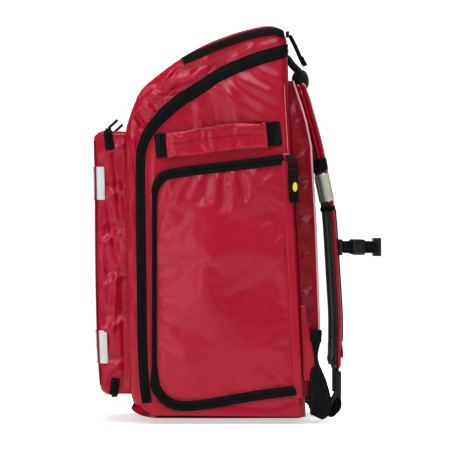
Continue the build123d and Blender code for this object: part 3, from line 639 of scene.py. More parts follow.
def wrap_across(side, folds_seed, height=1.0, columns=44):
    """Columns across the bag between a right-hand edge line (rows, 3) and its mirror image, gently crowned."""
    t = np.linspace(0, 1, columns)[None, :, None]
    left = side * np.array([-1.0, 1.0, 1.0])
    flat = side[:, None] * (1 - t) + left[:, None] * t
    tangent = unit(np.gradient(side, axis=0))
    outward = np.cross(np.array([1.0, 0, 0]), tangent)
    crown = np.sin(np.pi * t) ** 0.7
    run = np.linspace(0, 1, len(side))[:, None, None] * 700
    waves = ripple(flat[..., :1], run, folds_seed, 120, 1.0)
    return flat + outward[:, None] * crown * (height + waves * 0.8)


print("outline", len(outline), "rear edge", len(rear_edge))

# %% [markdown]
# ## Side doors
# A door is one panel of cloth whose zip runs along its top, front and bottom, folded at the rear. A Coons patch fills
# its four edges: each point adds the blends of opposite edges and takes away the blend of the corners. The cloth is
# then simulated: held at its edges, slightly too large for them and pushed out, it billows and puckers at the zip.

# %% Door outline
door_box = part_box("side_door_zip_right")
panel_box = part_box("side_door_right")
door_front_y = 1000 * door_box[0][1]
hinge_joint = next(j for j in frame["joints"] if j["name"] == "side_door_right_open")
hinge_at = 1000 * np.array(hinge_joint["pos_m"])
hinge_axis = np.array(hinge_joint["axis"])


def hinge_y(z):
    """Y of the door's hinge line at a height."""
    return hinge_at[1] + hinge_axis[1] / hinge_axis[2] * (np.asarray(z, float) - hinge_at[2])


door_top = [(-100.2, 359.5), (-92.0, 365.2), (-81.0, 368.2), (-62, 371), (-40, 374), (-1, 378.5), (45, 384),
            (hinge_y(390), 390)]
door_low = [(-96.4, 31.6), (-82.5, 22.6), (-66, 19.4), (-40, 20.8), (-1, 27.5), (50, 36), (hinge_y(43), 43)]
door_fore = [(-96.4, 31.6), (-105.7, 45.5), (-108.6, 62), (-109, 150), (-109, 250), (-108.6, 333), (-106.2, 349),
             (-100.2, 359.5)]
door_rear = [(hinge_y(43), 43), (hinge_y(200), 200), (hinge_y(390), 390)]
columns, rows = 84, 132
bottom, top = curve(door_low, columns), curve(door_top, columns)
fore, rear = curve(door_fore, rows), curve(door_rear, rows)
door_loop = np.concatenate([bottom, rear[1:], top[::-1][1:], fore[::-1][1:-1]])


def coons(low, high, left, right):
    """Coons patch of four edge curves in side view."""
    u = np.linspace(0, 1, len(low))[None, :, None]
    v = np.linspace(0, 1, len(left))[:, None, None]
    ruled_v = (1 - v) * low[None] + v * high[None]
    ruled_u = (1 - u) * left[:, None] + u * right[:, None]
    corners = ((1 - u) * (1 - v) * low[0] + u * (1 - v) * low[-1] + (1 - u) * v * high[0] + u * v * high[-1])
    return ruled_v + ruled_u - corners


door_yz = coons(bottom, top, fore, rear)
door_folds = [
    (-40, 366, -52, 330, 6, 2.4), (-28, 368, -36, 322, 6, -2.2), (-16, 370, -18, 318, 6, 2.4),
    (-5, 371, -2, 310, 6, -2.2), (6, 372, 12, 300, 8, 2.6), (18, 372, 30, 326, 6, -2.0), (-66, 360, -78, 318, 7, 1.8),
    (34, 374, 52, 332, 8, 1.6), (-95, 330, -88, 250, 9, 1.4), (70, 330, 40, 250, 22, -2.6), (-60, 300, 10, 120, 40, 3.2),
    (60, 240, 20, 130, 26, -2.4), (-100, 70, -80, 150, 10, 1.6), (20, 60, 85, 70, 12, 1.8), (-40, 50, 30, 60, 12, -1.2),
    (80, 300, 92, 140, 8, 2.0), (-20, 230, 60, 290, 26, 1.8),
]


def simulate(obj, hold, pressure, grow, frames=20, stiff=8.0, cap=9.0, quality=6):
    """Run the cloth solver on a piece with the held points pinned, and write the result back, capped in distance."""
    mesh = obj.data
    before = np.empty(len(mesh.vertices) * 3, np.float32)
    mesh.vertices.foreach_get("co", before)
    if hold is not None:
        group = obj.vertex_groups.new(name="hold")
        for weight in np.unique(np.round(hold, 2)):
            if weight > 0:
                chosen = np.nonzero(np.isclose(np.round(hold, 2), weight))[0]
                group.add(chosen.tolist(), float(weight), "REPLACE")
    cloth = obj.modifiers.new("cloth", "CLOTH")
    settings = cloth.settings
    settings.quality = quality
    settings.mass = 0.4
    settings.tension_stiffness = 15 * stiff
    settings.compression_stiffness = 15 * stiff
    settings.shear_stiffness = 5 * stiff
    settings.bending_stiffness = 0.9 * stiff
    settings.use_pressure = True
    settings.uniform_pressure_force = pressure
    settings.shrink_min = -grow
    settings.shrink_max = -grow
    settings.effector_weights.gravity = 0
    cloth.collision_settings.use_collision = False
    if hold is not None:
        settings.vertex_group_mass = "hold"
        settings.pin_stiffness = 1.0
    cloth.point_cache.frame_start = 1
    cloth.point_cache.frame_end = frames
    scene = bpy.context.scene
    for step in range(1, frames + 1):
        scene.frame_set(step)
    depsgraph = bpy.context.evaluated_depsgraph_get()
    after = np.empty_like(before)
    obj.evaluated_get(depsgraph).to_mesh().vertices.foreach_get("co", after)
    obj.evaluated_get(depsgraph).to_mesh_clear()
    obj.modifiers.remove(cloth)
    if hold is not None:
        obj.vertex_groups.remove(group)
    scene.frame_set(1)
    move = (after - before).reshape(-1, 3)
    size = np.linalg.norm(move, axis=1, keepdims=True)
    move *= np.minimum(1, cap * MM / np.maximum(size, 1e-9))
    mesh.vertices.foreach_set("co", (before.reshape(-1, 3) + move).ravel())
    mesh.update()
    print(obj.name, "cloth moved up to", round(float(size.max()) * 1000, 1), "mm")
    return obj


def grid_edge_hold(rows, cols, width):
    """Pin weights of a grid: 1 on its edge, falling to 0 over a number of cells."""
    i = np.minimum(np.arange(rows), np.arange(rows)[::-1])[:, None]
    j = np.minimum(np.arange(cols), np.arange(cols)[::-1])[None]
    return (1 - eased(np.minimum(i, j).astype(float), 0, width)).ravel()


# %% Door panels
def door_panel(name, mirror, nodes, body):
    """One door: the patch over the side wall, simulated, thickened and lined."""
    y, z = door_yz[..., 0], door_yz[..., 1]
    rim = nearest(door_yz, np.concatenate([bottom, top, fore, rear]))
    crown = 6.0 * eased(rim, 0, 80)
    x = half_width - 0.9 + crown + eased(rim, 0, 10) * (creases(y, z, door_folds) + ripple(y, z, 5, 140, 0.9))
    grid = np.stack([x, y, z], axis=-1)
    obj = sheet_mesh(name, grid, (1, 0, 0))
    simulate(obj, grid_edge_hold(rows, columns, 3), 0.8, 0.004, cap=5)
    if mirror:
        count = len(obj.data.vertices)
        co = np.empty(count * 3, np.float32)
        obj.data.vertices.foreach_get("co", co)
        co = co.reshape(-1, 3) * np.array([-1, 1, 1], np.float32)
        obj.data.vertices.foreach_set("co", co.ravel())
        obj.data.flip_normals()
    return dress(obj, body, red, nodes, levels=1, thick=2.2, back=lining)


door_right = door_panel("door_skin_right", False, ["side_door_right"], "side_door_right")
door_left = door_panel("door_skin_left", True, ["side_door_left"], "side_door_left")

# %% [markdown]
# ## Body skin
# One sheet runs from the main zip on the right, over the side wall, round the rear corner, across the back and up
# the other side to the zip again. Its rows follow the zip line and the rear edge together. The faces inside each
# door's edge are left out, and the frame tape covers that cut.

# %% Body skin
zip_line = main_zip
body_rows = 190
zip_rows = spaced(zip_line, body_rows)
rear_rows = spaced(rear_edge, body_rows)
side_yz = ruled(zip_rows, rear_rows, 96)
side_yz[..., 1] = np.maximum(side_yz[..., 1], 1.0)
side_x = wall_x(side_yz[..., 0], side_yz[..., 1], body_folds, 3, 0.8)
body_side = np.concatenate([side_x[..., None], side_yz], axis=-1)
body_back = wrap_across(body_side[:, -1], 11, 1.5)
body_grid = np.concatenate([body_side, body_back[:, 1:-1], mirror_grid(body_side)[:, ::-1]], axis=1)
frame_loop = door_loop + 1.2 * unit(door_loop - door_loop.mean(0))
frame_edge = spaced(np.concatenate([frame_loop, frame_loop[:1]]), 1200)


def drawn_to_edge(yz):
    """Side-view points just inside the frame's edge, moved onto it, so that the cut follows the edge smoothly."""
    flat = yz.reshape(-1, 2).copy()
    depth = nearest(flat, frame_edge)
    near = inside(flat, frame_loop) & (depth < 9.0) & (flat[:, 0] < hinge_y(flat[:, 1]) - 3.0)
    picked = flat[near]
    to = np.stack([frame_edge[np.argmin(((frame_edge - p) ** 2).sum(1))] for p in picked])
    flat[near] = picked + (to - picked) * 1.002
    return flat.reshape(yz.shape)


side_yz = drawn_to_edge(side_yz)
body_side[..., 1:] = side_yz
body_grid[:, :96, 1:] = side_yz
body_grid[:, -96:, 1:] = side_yz[:, ::-1]


def outside_doors(quads):
    """Keep a face unless one of its corners is on a side wall and inside the door's edge, in front of its hinge."""
    on_side = np.abs(quads[..., 0]) > half_width - 12
    hole = inside(quads[..., 1:], frame_loop) & (quads[..., 1] < hinge_y(quads[..., 2]) + 1.0)
    return ~(on_side & hole).any(axis=1)


body_skin = sheet_mesh("body_skin", body_grid, lambda p: p - np.array([0, 0, 250.0]), outside_doors)
dress(body_skin, "bag", red, ["body_shell"], thick=2.4, back=lining)

# %% Base
base_line = spaced(np.array([(-118.0, 3.0), (-108.0, 0.6), (0.0, 0.3), (108.0, 0.6), (118.5, 3.0)]), 60)
base_t = np.linspace(1, -1, 70)[None]
base_x = (half_width - edge + 1.0) * base_t * np.ones((60, 1))
base_grid = np.stack([base_x, base_line[:, :1] * np.ones((1, 70)), base_line[:, 1:] * np.ones((1, 70))], axis=-1)
base_skin = sheet_mesh("base_skin", base_grid, (0, 0, -1))
# Painted shade: the base is drawn in the darkened red.
dress(base_skin, "bag", red_painted_shade, (), thick=2.0, back=lining)

# %% Front foot, below the cover's fold
foot_top = spaced(np.array([(-112.0, 22.5), (-119.5, 21.0), (-143.0, 17.0)]), 24)
foot_low = curve([(-106, 1.2), (-118, 2.2), (-130, 5.5), (-138.5, 10.5), (-143.4, 17.0)], 24)
foot_yz = ruled(foot_top, foot_low, 9)
foot_x = wall_x(foot_yz[..., 0], foot_yz[..., 1], (), 3, 0.4) - 0.6
foot_side = np.concatenate([foot_x[..., None], foot_yz], axis=-1)
foot_front = wrap_across(foot_side[:, -1], 27, 0.4)
foot_grid = np.concatenate([foot_side, foot_front[:, 1:-1], mirror_grid(foot_side)[:, ::-1]], axis=1)
foot_skin = sheet_mesh("foot_skin", foot_grid, lambda p: p - np.array([0, -60.0, 120.0]))
dress(foot_skin, "bag", red, (), thick=2.0, back=lining)

# %% Fold behind each door
for label, turn in (("right", 1.0), ("left", -1.0)):
    fold_z = np.linspace(31, 399, 120)
    fold_x = half_width + 0.4 + 0.4 * ripple(fold_z, fold_z * 0, 19, 80, 1.0)
    fold_path = np.stack([turn * fold_x, hinge_y(fold_z) + 2.6, fold_z], axis=1)
    dress(strap("door_fold_" + label, fold_path, (0, 1.0, -0.05), 12.5, 2.2, power=3), "bag", red, ())

# %% [markdown]
# ## Cover skin
# The clamshell cover is the same idea with the zip on its rear side: from the zip, over the narrow side band, round
# the outline's edge, across the front and top, and back. The top flap's hole is left out.

# %% Cover skin
cover_outline = outline[np.argmax(outline[:, 1] > 553.0) - 1:]
cover_outline = cover_outline[: len(cover_outline) - np.argmax(cover_outline[::-1, 1] > 16)]
cover_rows = 230
cover_edge = spaced(cover_outline, cover_rows)
cover_zip = spaced(zip_line[zip_line[:, 1] >= 20], cover_rows)
band_yz = ruled(cover_zip, cover_edge, 26, 0.85)
band_x = wall_x(band_yz[..., 0], band_yz[..., 1], cover_folds, 8, 0.7)
cover_side = np.concatenate([band_x[..., None], band_yz], axis=-1)
cover_front = wrap_across(cover_side[:, -1], 21, 3.0, 56)
cover_grid = np.concatenate([cover_side, cover_front[:, 1:-1], mirror_grid(cover_side)[:, ::-1]], axis=1)
flap_reach = np.concatenate([top_zip, [(120.0, 577.0), (120.0, 700.0), (-120.0, 700.0), (-74.0, 548.0)]])


def outside_flap(quads):
    """Keep a face unless all its corners are within the top flap's reach."""
    return ~inside(quads[..., 1:], flap_reach).all(axis=1)


cover_skin = sheet_mesh("cover_skin", cover_grid, lambda p: p - np.array([0, 0, 300.0]), outside_flap)
dress(cover_skin, "front_cover", red, ["cover_shell"], thick=2.4, back=lining)

# %% Top flap
flap_edge = outline[(outline[:, 1] > 541) & (outline[:, 0] > -68)]
flap_edge = flap_edge[flap_edge[:, 1] > 576.5 - 40 * (flap_edge[:, 0] < 60)]
flap_edge = spaced(flap_edge[::-1], 120)
flap_low = spaced(top_zip, 120)
flap_yz = ruled(flap_low, flap_edge, 10)
flap_x = wall_x(flap_yz[..., 0], flap_yz[..., 1], [(-20, 562, 50, 586, 5, 1.0)], 9, 0.5) + 0.4
flap_side = np.concatenate([flap_x[..., None], flap_yz], axis=-1)
flap_top = wrap_across(flap_side[:, -1], 33, 3.4, 56)
flap_grid = np.concatenate([flap_side, flap_top[:, 1:-1], mirror_grid(flap_side)[:, ::-1]], axis=1)
flap_skin = sheet_mesh("flap_skin", flap_grid, (0, -0.3, 1))
dress(flap_skin, "top_flap", red, ["top_flap"], levels=1, thick=2.2, back=lining)
print("skins", len(body_skin.data.polygons), len(cover_skin.data.polygons), len(flap_skin.data.polygons))

# %% [markdown]
# ## Zips
# Each half of a zip is a ribbon of tape with half of the coil along its inner edge. The ribbon's section is a short
# list of heights above the cloth, and the coil's height rises and falls once per tooth, so the teeth are real shape.


# %% Zip halves
def zip_half(name, path, normal, width, body, nodes=(), towards=1, lift=0.4, pitch=2.6, step=0.65):
    """Half a zip along a path: section points (distance from the coil's line, height), the coil rippled by its teeth."""
    length = np.linalg.norm(np.diff(path, axis=0), axis=1).sum()
    width = np.broadcast_to(np.asarray(width, float), (len(path),))
    fine = spaced(np.concatenate([path, normal, width[:, None]], axis=1), int(length / step))
    at, up, wide = fine[:, :3], unit(fine[:, 3:6]), fine[:, 6:7]
    tangent = unit(np.gradient(at, axis=0))
    across = unit(np.cross(up, tangent)) * towards
    tooth = 0.5 + 0.5 * np.sin(2 * np.pi * np.arange(len(at))[:, None] * step / pitch)
    one = np.ones_like(tooth)
    out = np.concatenate([wide * one, wide * one, (wide - 0.9) * one, 3.1 * one, 2.6 * one, 1.5 * one, 0.03 * one,
                          0.02 * one], axis=1)
    high = np.concatenate([-1.3 * one, 0.5 * one, 0.8 * one, 0.8 * one, 1.0 + 0.25 * tooth, 1.5 + 0.5 * tooth,
                           1.0 + 0.3 * tooth, -1.3 * one], axis=1) + lift
    grid = at[:, None] + across[:, None] * out[..., None] + up[:, None] * high[..., None]
    obj = sheet_mesh(name, grid, up_of(grid, up))
    return dress(obj, body, tape, nodes)


def up_of(grid, up):
    """A rule for facing: each face's outward side is its own row's normal."""
    rows, cols = grid.shape[:2]
    per_face = up[:-1].repeat(cols - 1, axis=0)
    return lambda p: per_face


def wall_normal(points, radius=edge):
    """The side wall's outward direction: +X on the flat, turning to the outline's own outward side on the edge."""
    away = np.stack([outline[np.argmin(((outline - p) ** 2).sum(1))] - p for p in points])
    depth = np.linalg.norm(away, axis=1)
    upright = np.sqrt(np.clip(radius**2 - np.clip(radius - depth, 0, radius) ** 2, 0, None)) / radius
    level = np.sqrt(1 - upright**2)[:, None] * unit(away)
    return np.concatenate([upright[:, None], level], axis=1)


def path_round(side):
    """A zip's path over the right side, across the rear and down the left, with a normal at every point."""
    side = spaced(side, 4 * len(side))
    corner = side[-1]
    rear = np.stack([np.linspace(corner[0], -corner[0], 320), np.full(320, corner[1]), np.full(320, corner[2])], axis=1)
    path = np.concatenate([side, rear[1:-1], (side * np.array([-1.0, 1, 1]))[::-1]])
    n_side = wall_normal(side[:, 1:])
    n_rear = np.broadcast_to((0, 1.0, 0), (318, 3))
    normal = np.concatenate([n_side, n_rear, (n_side * np.array([-1.0, 1, 1]))[::-1]])
    kernel = np.ones(13) / 13
    pad = lambda a: np.concatenate([a[:1].repeat(6, 0), a, a[-1:].repeat(6, 0)])
    smooth = lambda a: np.stack([np.convolve(pad(a)[:, k], kernel, "valid") for k in range(3)], axis=1)
    return smooth(path), unit(smooth(normal))


main_side = np.concatenate([side_x[:, :1], zip_rows], axis=1)[zip_rows[:, 1] >= 20][::-1]
main_path, main_normal = path_round(main_side)
on_slope = eased(main_path[:, 2], 400, 480)
main_wide = 7.4 + 2.6 * on_slope
zip_half("main_zip_body", main_path, main_normal, main_wide, "bag", ["main_zip_body_half"], 1)
zip_half("main_zip_cover", main_path, main_normal, main_wide, "front_cover", ["main_zip_cover_half"], -1)

top_line = spaced(top_zip, 90)
top_side = np.concatenate([wall_x(top_line[:, 0], top_line[:, 1])[:, None] + 0.6, top_line], axis=1)
top_path, top_normal = path_round(top_side)
zip_half("top_zip_rim", top_path, top_normal, 6.4, "front_cover", ["top_pocket_zip_rim"], 1, 0.8)
zip_half("top_zip_flap", top_path, top_normal, 6.6, "top_flap", ["top_flap_zip"], -1, 1.0)


def door_zip(side, body, frame_nodes, door_nodes):
    """The zip round a door's top, front and bottom, on the right (side 1) or left (side -1)."""
    line = spaced(np.concatenate([top[::-1][:-1], fore[::-1][:-1], bottom]), 320)
    x = np.full((len(line), 1), half_width - 0.5)
    path = np.concatenate([x, line], axis=1) * np.array([side, 1.0, 1.0])
    normal = np.broadcast_to((float(side), 0, 0), path.shape)
    level = eased(np.abs(line[:, 1] - 205), 120, 160)
    wide = 3.8 + 3.8 * level
    label = "right" if side > 0 else "left"
    zip_half("door_zip_frame_" + label, path, normal, wide, "bag", frame_nodes, side, 0.6)
    zip_half("door_zip_door_" + label, path, normal, wide, body, door_nodes, -side, 1.0)
    return path, normal


right_path, right_normal = door_zip(1, "side_door_right", ["side_zip_frames"], ["side_door_zip_right"])
left_path, left_normal = door_zip(-1, "side_door_left", [], ["side_door_zip_left"])
print("zips made")

# %% [markdown]
# ## Front pocket
# The pocket is a box of cloth on the cover: one panel wraps over its top, front and bottom, and a gusset closes each
# side. A gusset is a Coons patch, creased in a zigzag as it folds when the pocket is pushed flat.

# %% Pocket panel
pocket_half = 149.0
pocket_zip_y, base_zip_y = -179.8, -170.8
profile = curve([(pocket_zip_y - 6.0, 432.2), (-190.5, 431.2), (-197.5, 426.5), (-200.2, 416.0), (-198.5, 350.0),
                 (-197.8, 230.0), (-195.0, 120.0), (-191.2, 52.0), (-188.2, 41.5), (-181.0, 36.6),
                 (base_zip_y - 6.0, 36.0)], 150)
across_t = np.sin(np.linspace(-np.pi / 2, np.pi / 2, 100))
_, _, profile_out = frames_along(np.concatenate([np.zeros((150, 1)), profile], axis=1), (1.0, 0, 0))
profile_out *= np.sign((profile_out[:, 1] * -1).sum())
near_edge = np.clip((np.abs(across_t) * pocket_half - (pocket_half - 9)) / 9, 0, 1)
tuck = 5.0 * (1 - np.sqrt(np.clip(1 - near_edge**2, 0, 1)))
down = np.linspace(0, 1, 150)[:, None]
swell = 2.2 * np.sin(np.pi * down) ** 0.8 * (1 - across_t[None] ** 4)
uneven = ripple(across_t[None] * 150 + 0 * down, down * 500, 41, 110, 0.9) * (1 - near_edge[None])
out = swell - tuck[None] + uneven
pocket_grid = np.concatenate([np.broadcast_to((across_t * pocket_half)[None, :, None], (150, 100, 1)),
                              np.broadcast_to(profile[:, None], (150, 100, 2))], axis=2)
pocket_grid = pocket_grid + out[..., None] * profile_out[:, None]
pocket_skin = sheet_mesh("pocket_skin", pocket_grid, (0, -1, 0))
dress(pocket_skin, "front_cover", red, ["front_pocket_shell"], thick=2.0, back=lining)

# %% Pocket gussets and corners
gusset_low = curve([(-190.8, 52), (-188.0, 42), (-181.0, 37), (-165.0, 36.0), (-143.0, 36.0)], 30)
gusset_high = curve([(-199.8, 416), (-197.0, 426), (-190.0, 431.5), (-170.0, 432.2), (-149.0, 432.2)], 30)
gusset_fore = curve([(-190.8, 52), (-195.0, 120.0), (-197.4, 230.0), (-198.2, 350.0), (-199.8, 416)], 150)
gusset_rear = curve([(-143.0, 36.0), (-148.0, 230.0), (-149.0, 432.2)], 150)
gusset_yz = coons(gusset_low, gusset_high, gusset_fore, gusset_rear)
zigzag = [(-197 + 12 * (k % 2), 58 + 33 * k, -156 + 4 * (k % 3), 70 + 33 * k + 16 * (-1) ** k, 5.5, 4.2 * (-1) ** k)
          for k in range(11)]
zigzag += [(-172, 410, -160, 300, 5, -4.0), (-182, 330, -164, 230, 5, -3.6), (-166, 240, -176, 90, 5, 3.6),
           (-158, 200, -154, 60, 4, -3.0), (-190, 300, -186, 180, 4, 2.6), (-156, 420, -152, 250, 4, 3.0)]
g_y, g_z = gusset_yz[..., 0], gusset_yz[..., 1]
g_rim = nearest(gusset_yz, np.concatenate([gusset_low, gusset_high, gusset_fore]))
g_x = pocket_half - 4.5 + 4.2 * np.sqrt(np.clip(1 - (1 - np.clip(g_rim / 7, 0, 1)) ** 2, 0, 1))
g_x += eased(g_rim, 2, 14) * (creases(g_y, g_z, zigzag) + ripple(g_y, g_z, 77, 40, 1.1) - 1.5)
gusset = np.concatenate([g_x[..., None], gusset_yz], axis=-1)
for label, turn in (("right", 1.0), ("left", -1.0)):
    piece = sheet_mesh("pocket_gusset_" + label, gusset * np.array([turn, 1, 1]), (turn, 0, 0))
    dress(piece, "front_cover", red, (), levels=1)
    edge_path = gusset[:, 1] * np.array([turn, 1, 1]) + np.array([turn * 0.6, -0.6, 0])
    # Painted shade: the pocket's piping is drawn in the darkened red.
    dress(cord_tube("pocket_piping_" + label, edge_path, 1.5), "front_cover", red_painted_shade, ())
    seam = gusset[:, 3] * np.array([turn, 1, 1]) + np.array([turn * 0.5, 0, 0])
    stitches("pocket_stitch_" + label, seam, (turn, 0, 0), "front_cover", thread_red)


def flat_panel(name, x0, x1, y0, y1, z, up, body, nodes=(), seed=3, bulge=1.5):
    """A level panel between two corners, swelling in its middle, looking up (1) or down (-1)."""
    x, y = np.meshgrid(np.linspace(x0, x1, 60), np.linspace(y0, y1, 14))
    u, v = (x - x0) / (x1 - x0), (y - y0) / (y1 - y0)
    rise = bulge * (np.sin(np.pi * u) * np.sin(np.pi * v)) ** 0.6 + 0.4 * ripple(x, y, seed, 60, 1.0) * v * (1 - v) * 4
    grid = np.stack([x, y, z + up * rise], axis=-1)
    obj = sheet_mesh(name, grid, (0, 0, up))
    return dress(obj, body, red, nodes, thick=1.6, back=lining)


lid_box, flap_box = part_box("front_pocket_lid"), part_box("front_pocket_base_flap")
lid_half = 1000 * lid_box[1][0]
flat_panel("pocket_lid_skin", -lid_half, lid_half, pocket_zip_y + 6, -153.4, 432.0, 1, "front_pocket_lid",
           ["front_pocket_lid"])
flat_panel("pocket_base_skin", -lid_half, lid_half, base_zip_y + 6, -147.4, 36.4, -1, "front_pocket_base_flap",
           ["front_pocket_base_flap"])
for turn in (1.0, -1.0):
    label = "right" if turn > 0 else "left"
    flat_panel("pocket_shoulder_" + label, turn * (lid_half + 0.4), turn * 147.5, pocket_zip_y + 6, -152, 432.0, 1,
               "front_cover", (), 4, 0.6)
    flat_panel("pocket_foot_" + label, turn * (lid_half + 0.4), turn * 147.5, base_zip_y + 6, -146, 36.4, -1,
               "front_cover", (), 5, 0.6)


# %% Pocket zips
def pocket_zip(name, y, z, up, end_z, body, nodes, lid_nodes):
    """A zip across the pocket whose ends turn down (or up) the gussets; the middle of its rear half rides the lid."""
    x_side = pocket_half + 0.6
    drop = curve([(x_side, end_z), (x_side, (end_z + z) / 2), (x_side, z - 4 * up), (x_side - 1.5, z - up),
                  (x_side - 5, z + 0.2 * up), (x_side - 12, z + 0.3 * up)], 60)
    level = np.stack([np.linspace(x_side - 12.5, -x_side + 12.5, 160), np.full(160, z + 0.3 * up)], axis=1)
    xz = np.concatenate([drop, level, drop[::-1] * np.array([-1.0, 1.0])])
    path = np.stack([xz[:, 0], np.full(len(xz), y), xz[:, 1]], axis=1)
    facing_up = np.clip((x_side - np.abs(xz[:, 0])) / 6, 0, 1)
    normal = unit(np.stack([np.sign(xz[:, 0]) * (1 - facing_up), 0 * facing_up, up * facing_up], axis=1))
    path[:, 1] += np.where(np.abs(xz[:, 0]) > x_side - 0.2, 3.0 * np.clip((z - xz[:, 1]) * up / 25, 0, 1), 0)
    zip_half(name + "_front", path, normal, 6.5, "front_cover", nodes, -up, 0.5)
    on_lid = np.abs(path[:, 0]) < lid_half
    zip_half(name + "_lid", path[on_lid], normal[on_lid], 6.5, body, lid_nodes, up, 0.5)
    ends = np.nonzero(on_lid)[0]
    zip_half(name + "_end_right", path[: ends[0]], normal[: ends[0]], 6.5, "front_cover", (), up, 0.5)
    zip_half(name + "_end_left", path[ends[-1] + 1:], normal[ends[-1] + 1:], 6.5, "front_cover", (), up, 0.5)


pocket_zip("pocket_top_zip", pocket_zip_y, 432.2, 1, 405, "front_pocket_lid", ["front_pocket_zip_rims"],
           ["front_pocket_lid_zip"])
pocket_zip("pocket_base_zip", base_zip_y, 36.0, -1, 60, "front_pocket_base_flap", [], ["front_pocket_base_zip"])

# %% Reflective bands
row_pick = lambda low, high: (profile[:, 1] >= low) & (profile[:, 1] <= high)
band_sheets = []
for label, low, high in (("upper", 329, 379), ("lower", 82, 132)):
    z_rows = np.linspace(low, high, 30)
    front_at = np.interp(z_rows, profile[::-1, 1], profile[::-1, 0])
    turn_x = np.array([pocket_half + 0.9, pocket_half + 0.9, pocket_half + 0.7, pocket_half - 1.5, pocket_half - 6,
                       pocket_half - 14])
    turn_y = np.array([15.0, 9.0, 4.2, 1.4, -1.2, -2.6])
    level_x = np.linspace(pocket_half - 20, -pocket_half + 20, 40)
    level_y = -3.4 - 0.6 * np.cos(level_x / 95)
    xs = np.concatenate([turn_x, level_x, -turn_x[::-1]])
    ys = np.concatenate([turn_y, level_y, turn_y[::-1]])
    wave = ripple(xs[None] + 0 * z_rows[:, None], z_rows[:, None] + 0 * xs[None], 12, 70, 0.4)
    grid = np.stack([np.broadcast_to(xs, (30, len(xs))), front_at[:, None] + ys[None] - 0.4 - np.abs(wave) * 0.5,
                     np.broadcast_to(z_rows[:, None], (30, len(xs)))], axis=-1)
    nodes = ["front_reflective_bands"] if label == "upper" else []
    sheet = sheet_mesh("reflective_band_" + label, grid, (0, -1, 0))
    dress(sheet, "front_cover", silver, nodes, levels=1, thick=0.6)
    for z in (low + 2.0, high - 2.0):
        row = int(np.argmin(np.abs(z_rows - z)))
        stitches("band_stitch_%s_%d" % (label, z), grid[row] + np.array([0, -0.4, 0]), (0, -1.0, 0), "front_cover",
                 thread_red)
print("front pocket made")

# %% [markdown]
# ## Handles
# The side handles are red sleeves over foam, held by ribbed webbing tabs. The sleeve is a flattened tube with a seam
# along its middle; the cloth solver puffs it a little so that it creases at the seam and at its ends.


# %% Padded tube
def padded_tube(name, path, side, width, thick, body, material, nodes=(), power=3.0, seam=0.0, seed=5,
                puff=1.6, around=48, nick=None):
    """A stuffed sleeve: a superellipse section along a path with a groove where it is sewn, then simulated."""
    path = np.asarray(path, float)
    tangent, sideways, normal = frames_along(path, side)
    rows = len(path)
    turn = np.linspace(0, 2 * np.pi, around, endpoint=False)
    a = np.sign(np.cos(turn)) * np.abs(np.cos(turn)) ** (2 / power)
    b = np.sign(np.sin(turn)) * np.abs(np.sin(turn)) ** (2 / 2.6)
    run = np.linspace(0, 1, rows)
    end = np.minimum(run, 1 - run) * rows / 5
    pinch = 0.62 + 0.38 * eased(end, 0, 1)
    groove = 1 - seam * np.exp(-((a[None] * np.asarray(width).mean() / 2) / 3.0) ** 2)
    wave = 1 + 0.05 * ripple(run[:, None] * 150 + 0 * turn[None], turn[None] * 20 + 0 * run[:, None], seed, 60, 1.0)
    if nick is not None:
        wave = wave * (1 - 0.22 * np.exp(-(((run - nick) / 0.02) ** 2))[:, None])
        wave = wave * (1 + 0.10 * np.exp(-(((run - nick - 0.05) / 0.03) ** 2))[:, None])
    half_w = (np.broadcast_to(width, (rows,)) / 2)[:, None, None]
    half_t = (np.broadcast_to(thick, (rows,)) / 2 * pinch)[:, None, None]
    rings = (path[:, None] + half_w * a[None, :, None] * sideways[:, None]
             + half_t * (b[None] * groove * wave)[..., None] * normal[:, None])
    obj = tube_mesh(name, rings)
    hold = np.zeros(rows * around + 2)
    hold[: 2 * around] = 1
    hold[(rows - 2) * around:] = 1
    grip = np.abs(a) * np.asarray(width).mean() / 2 < 2.5
    if seam:
        hold[: rows * around].reshape(rows, around)[:, grip] = 0.9
    simulate(obj, hold, puff, 0.015, frames=12, stiff=2.5, cap=2.0)
    dress(obj, body, material, nodes, levels=1)
    return obj


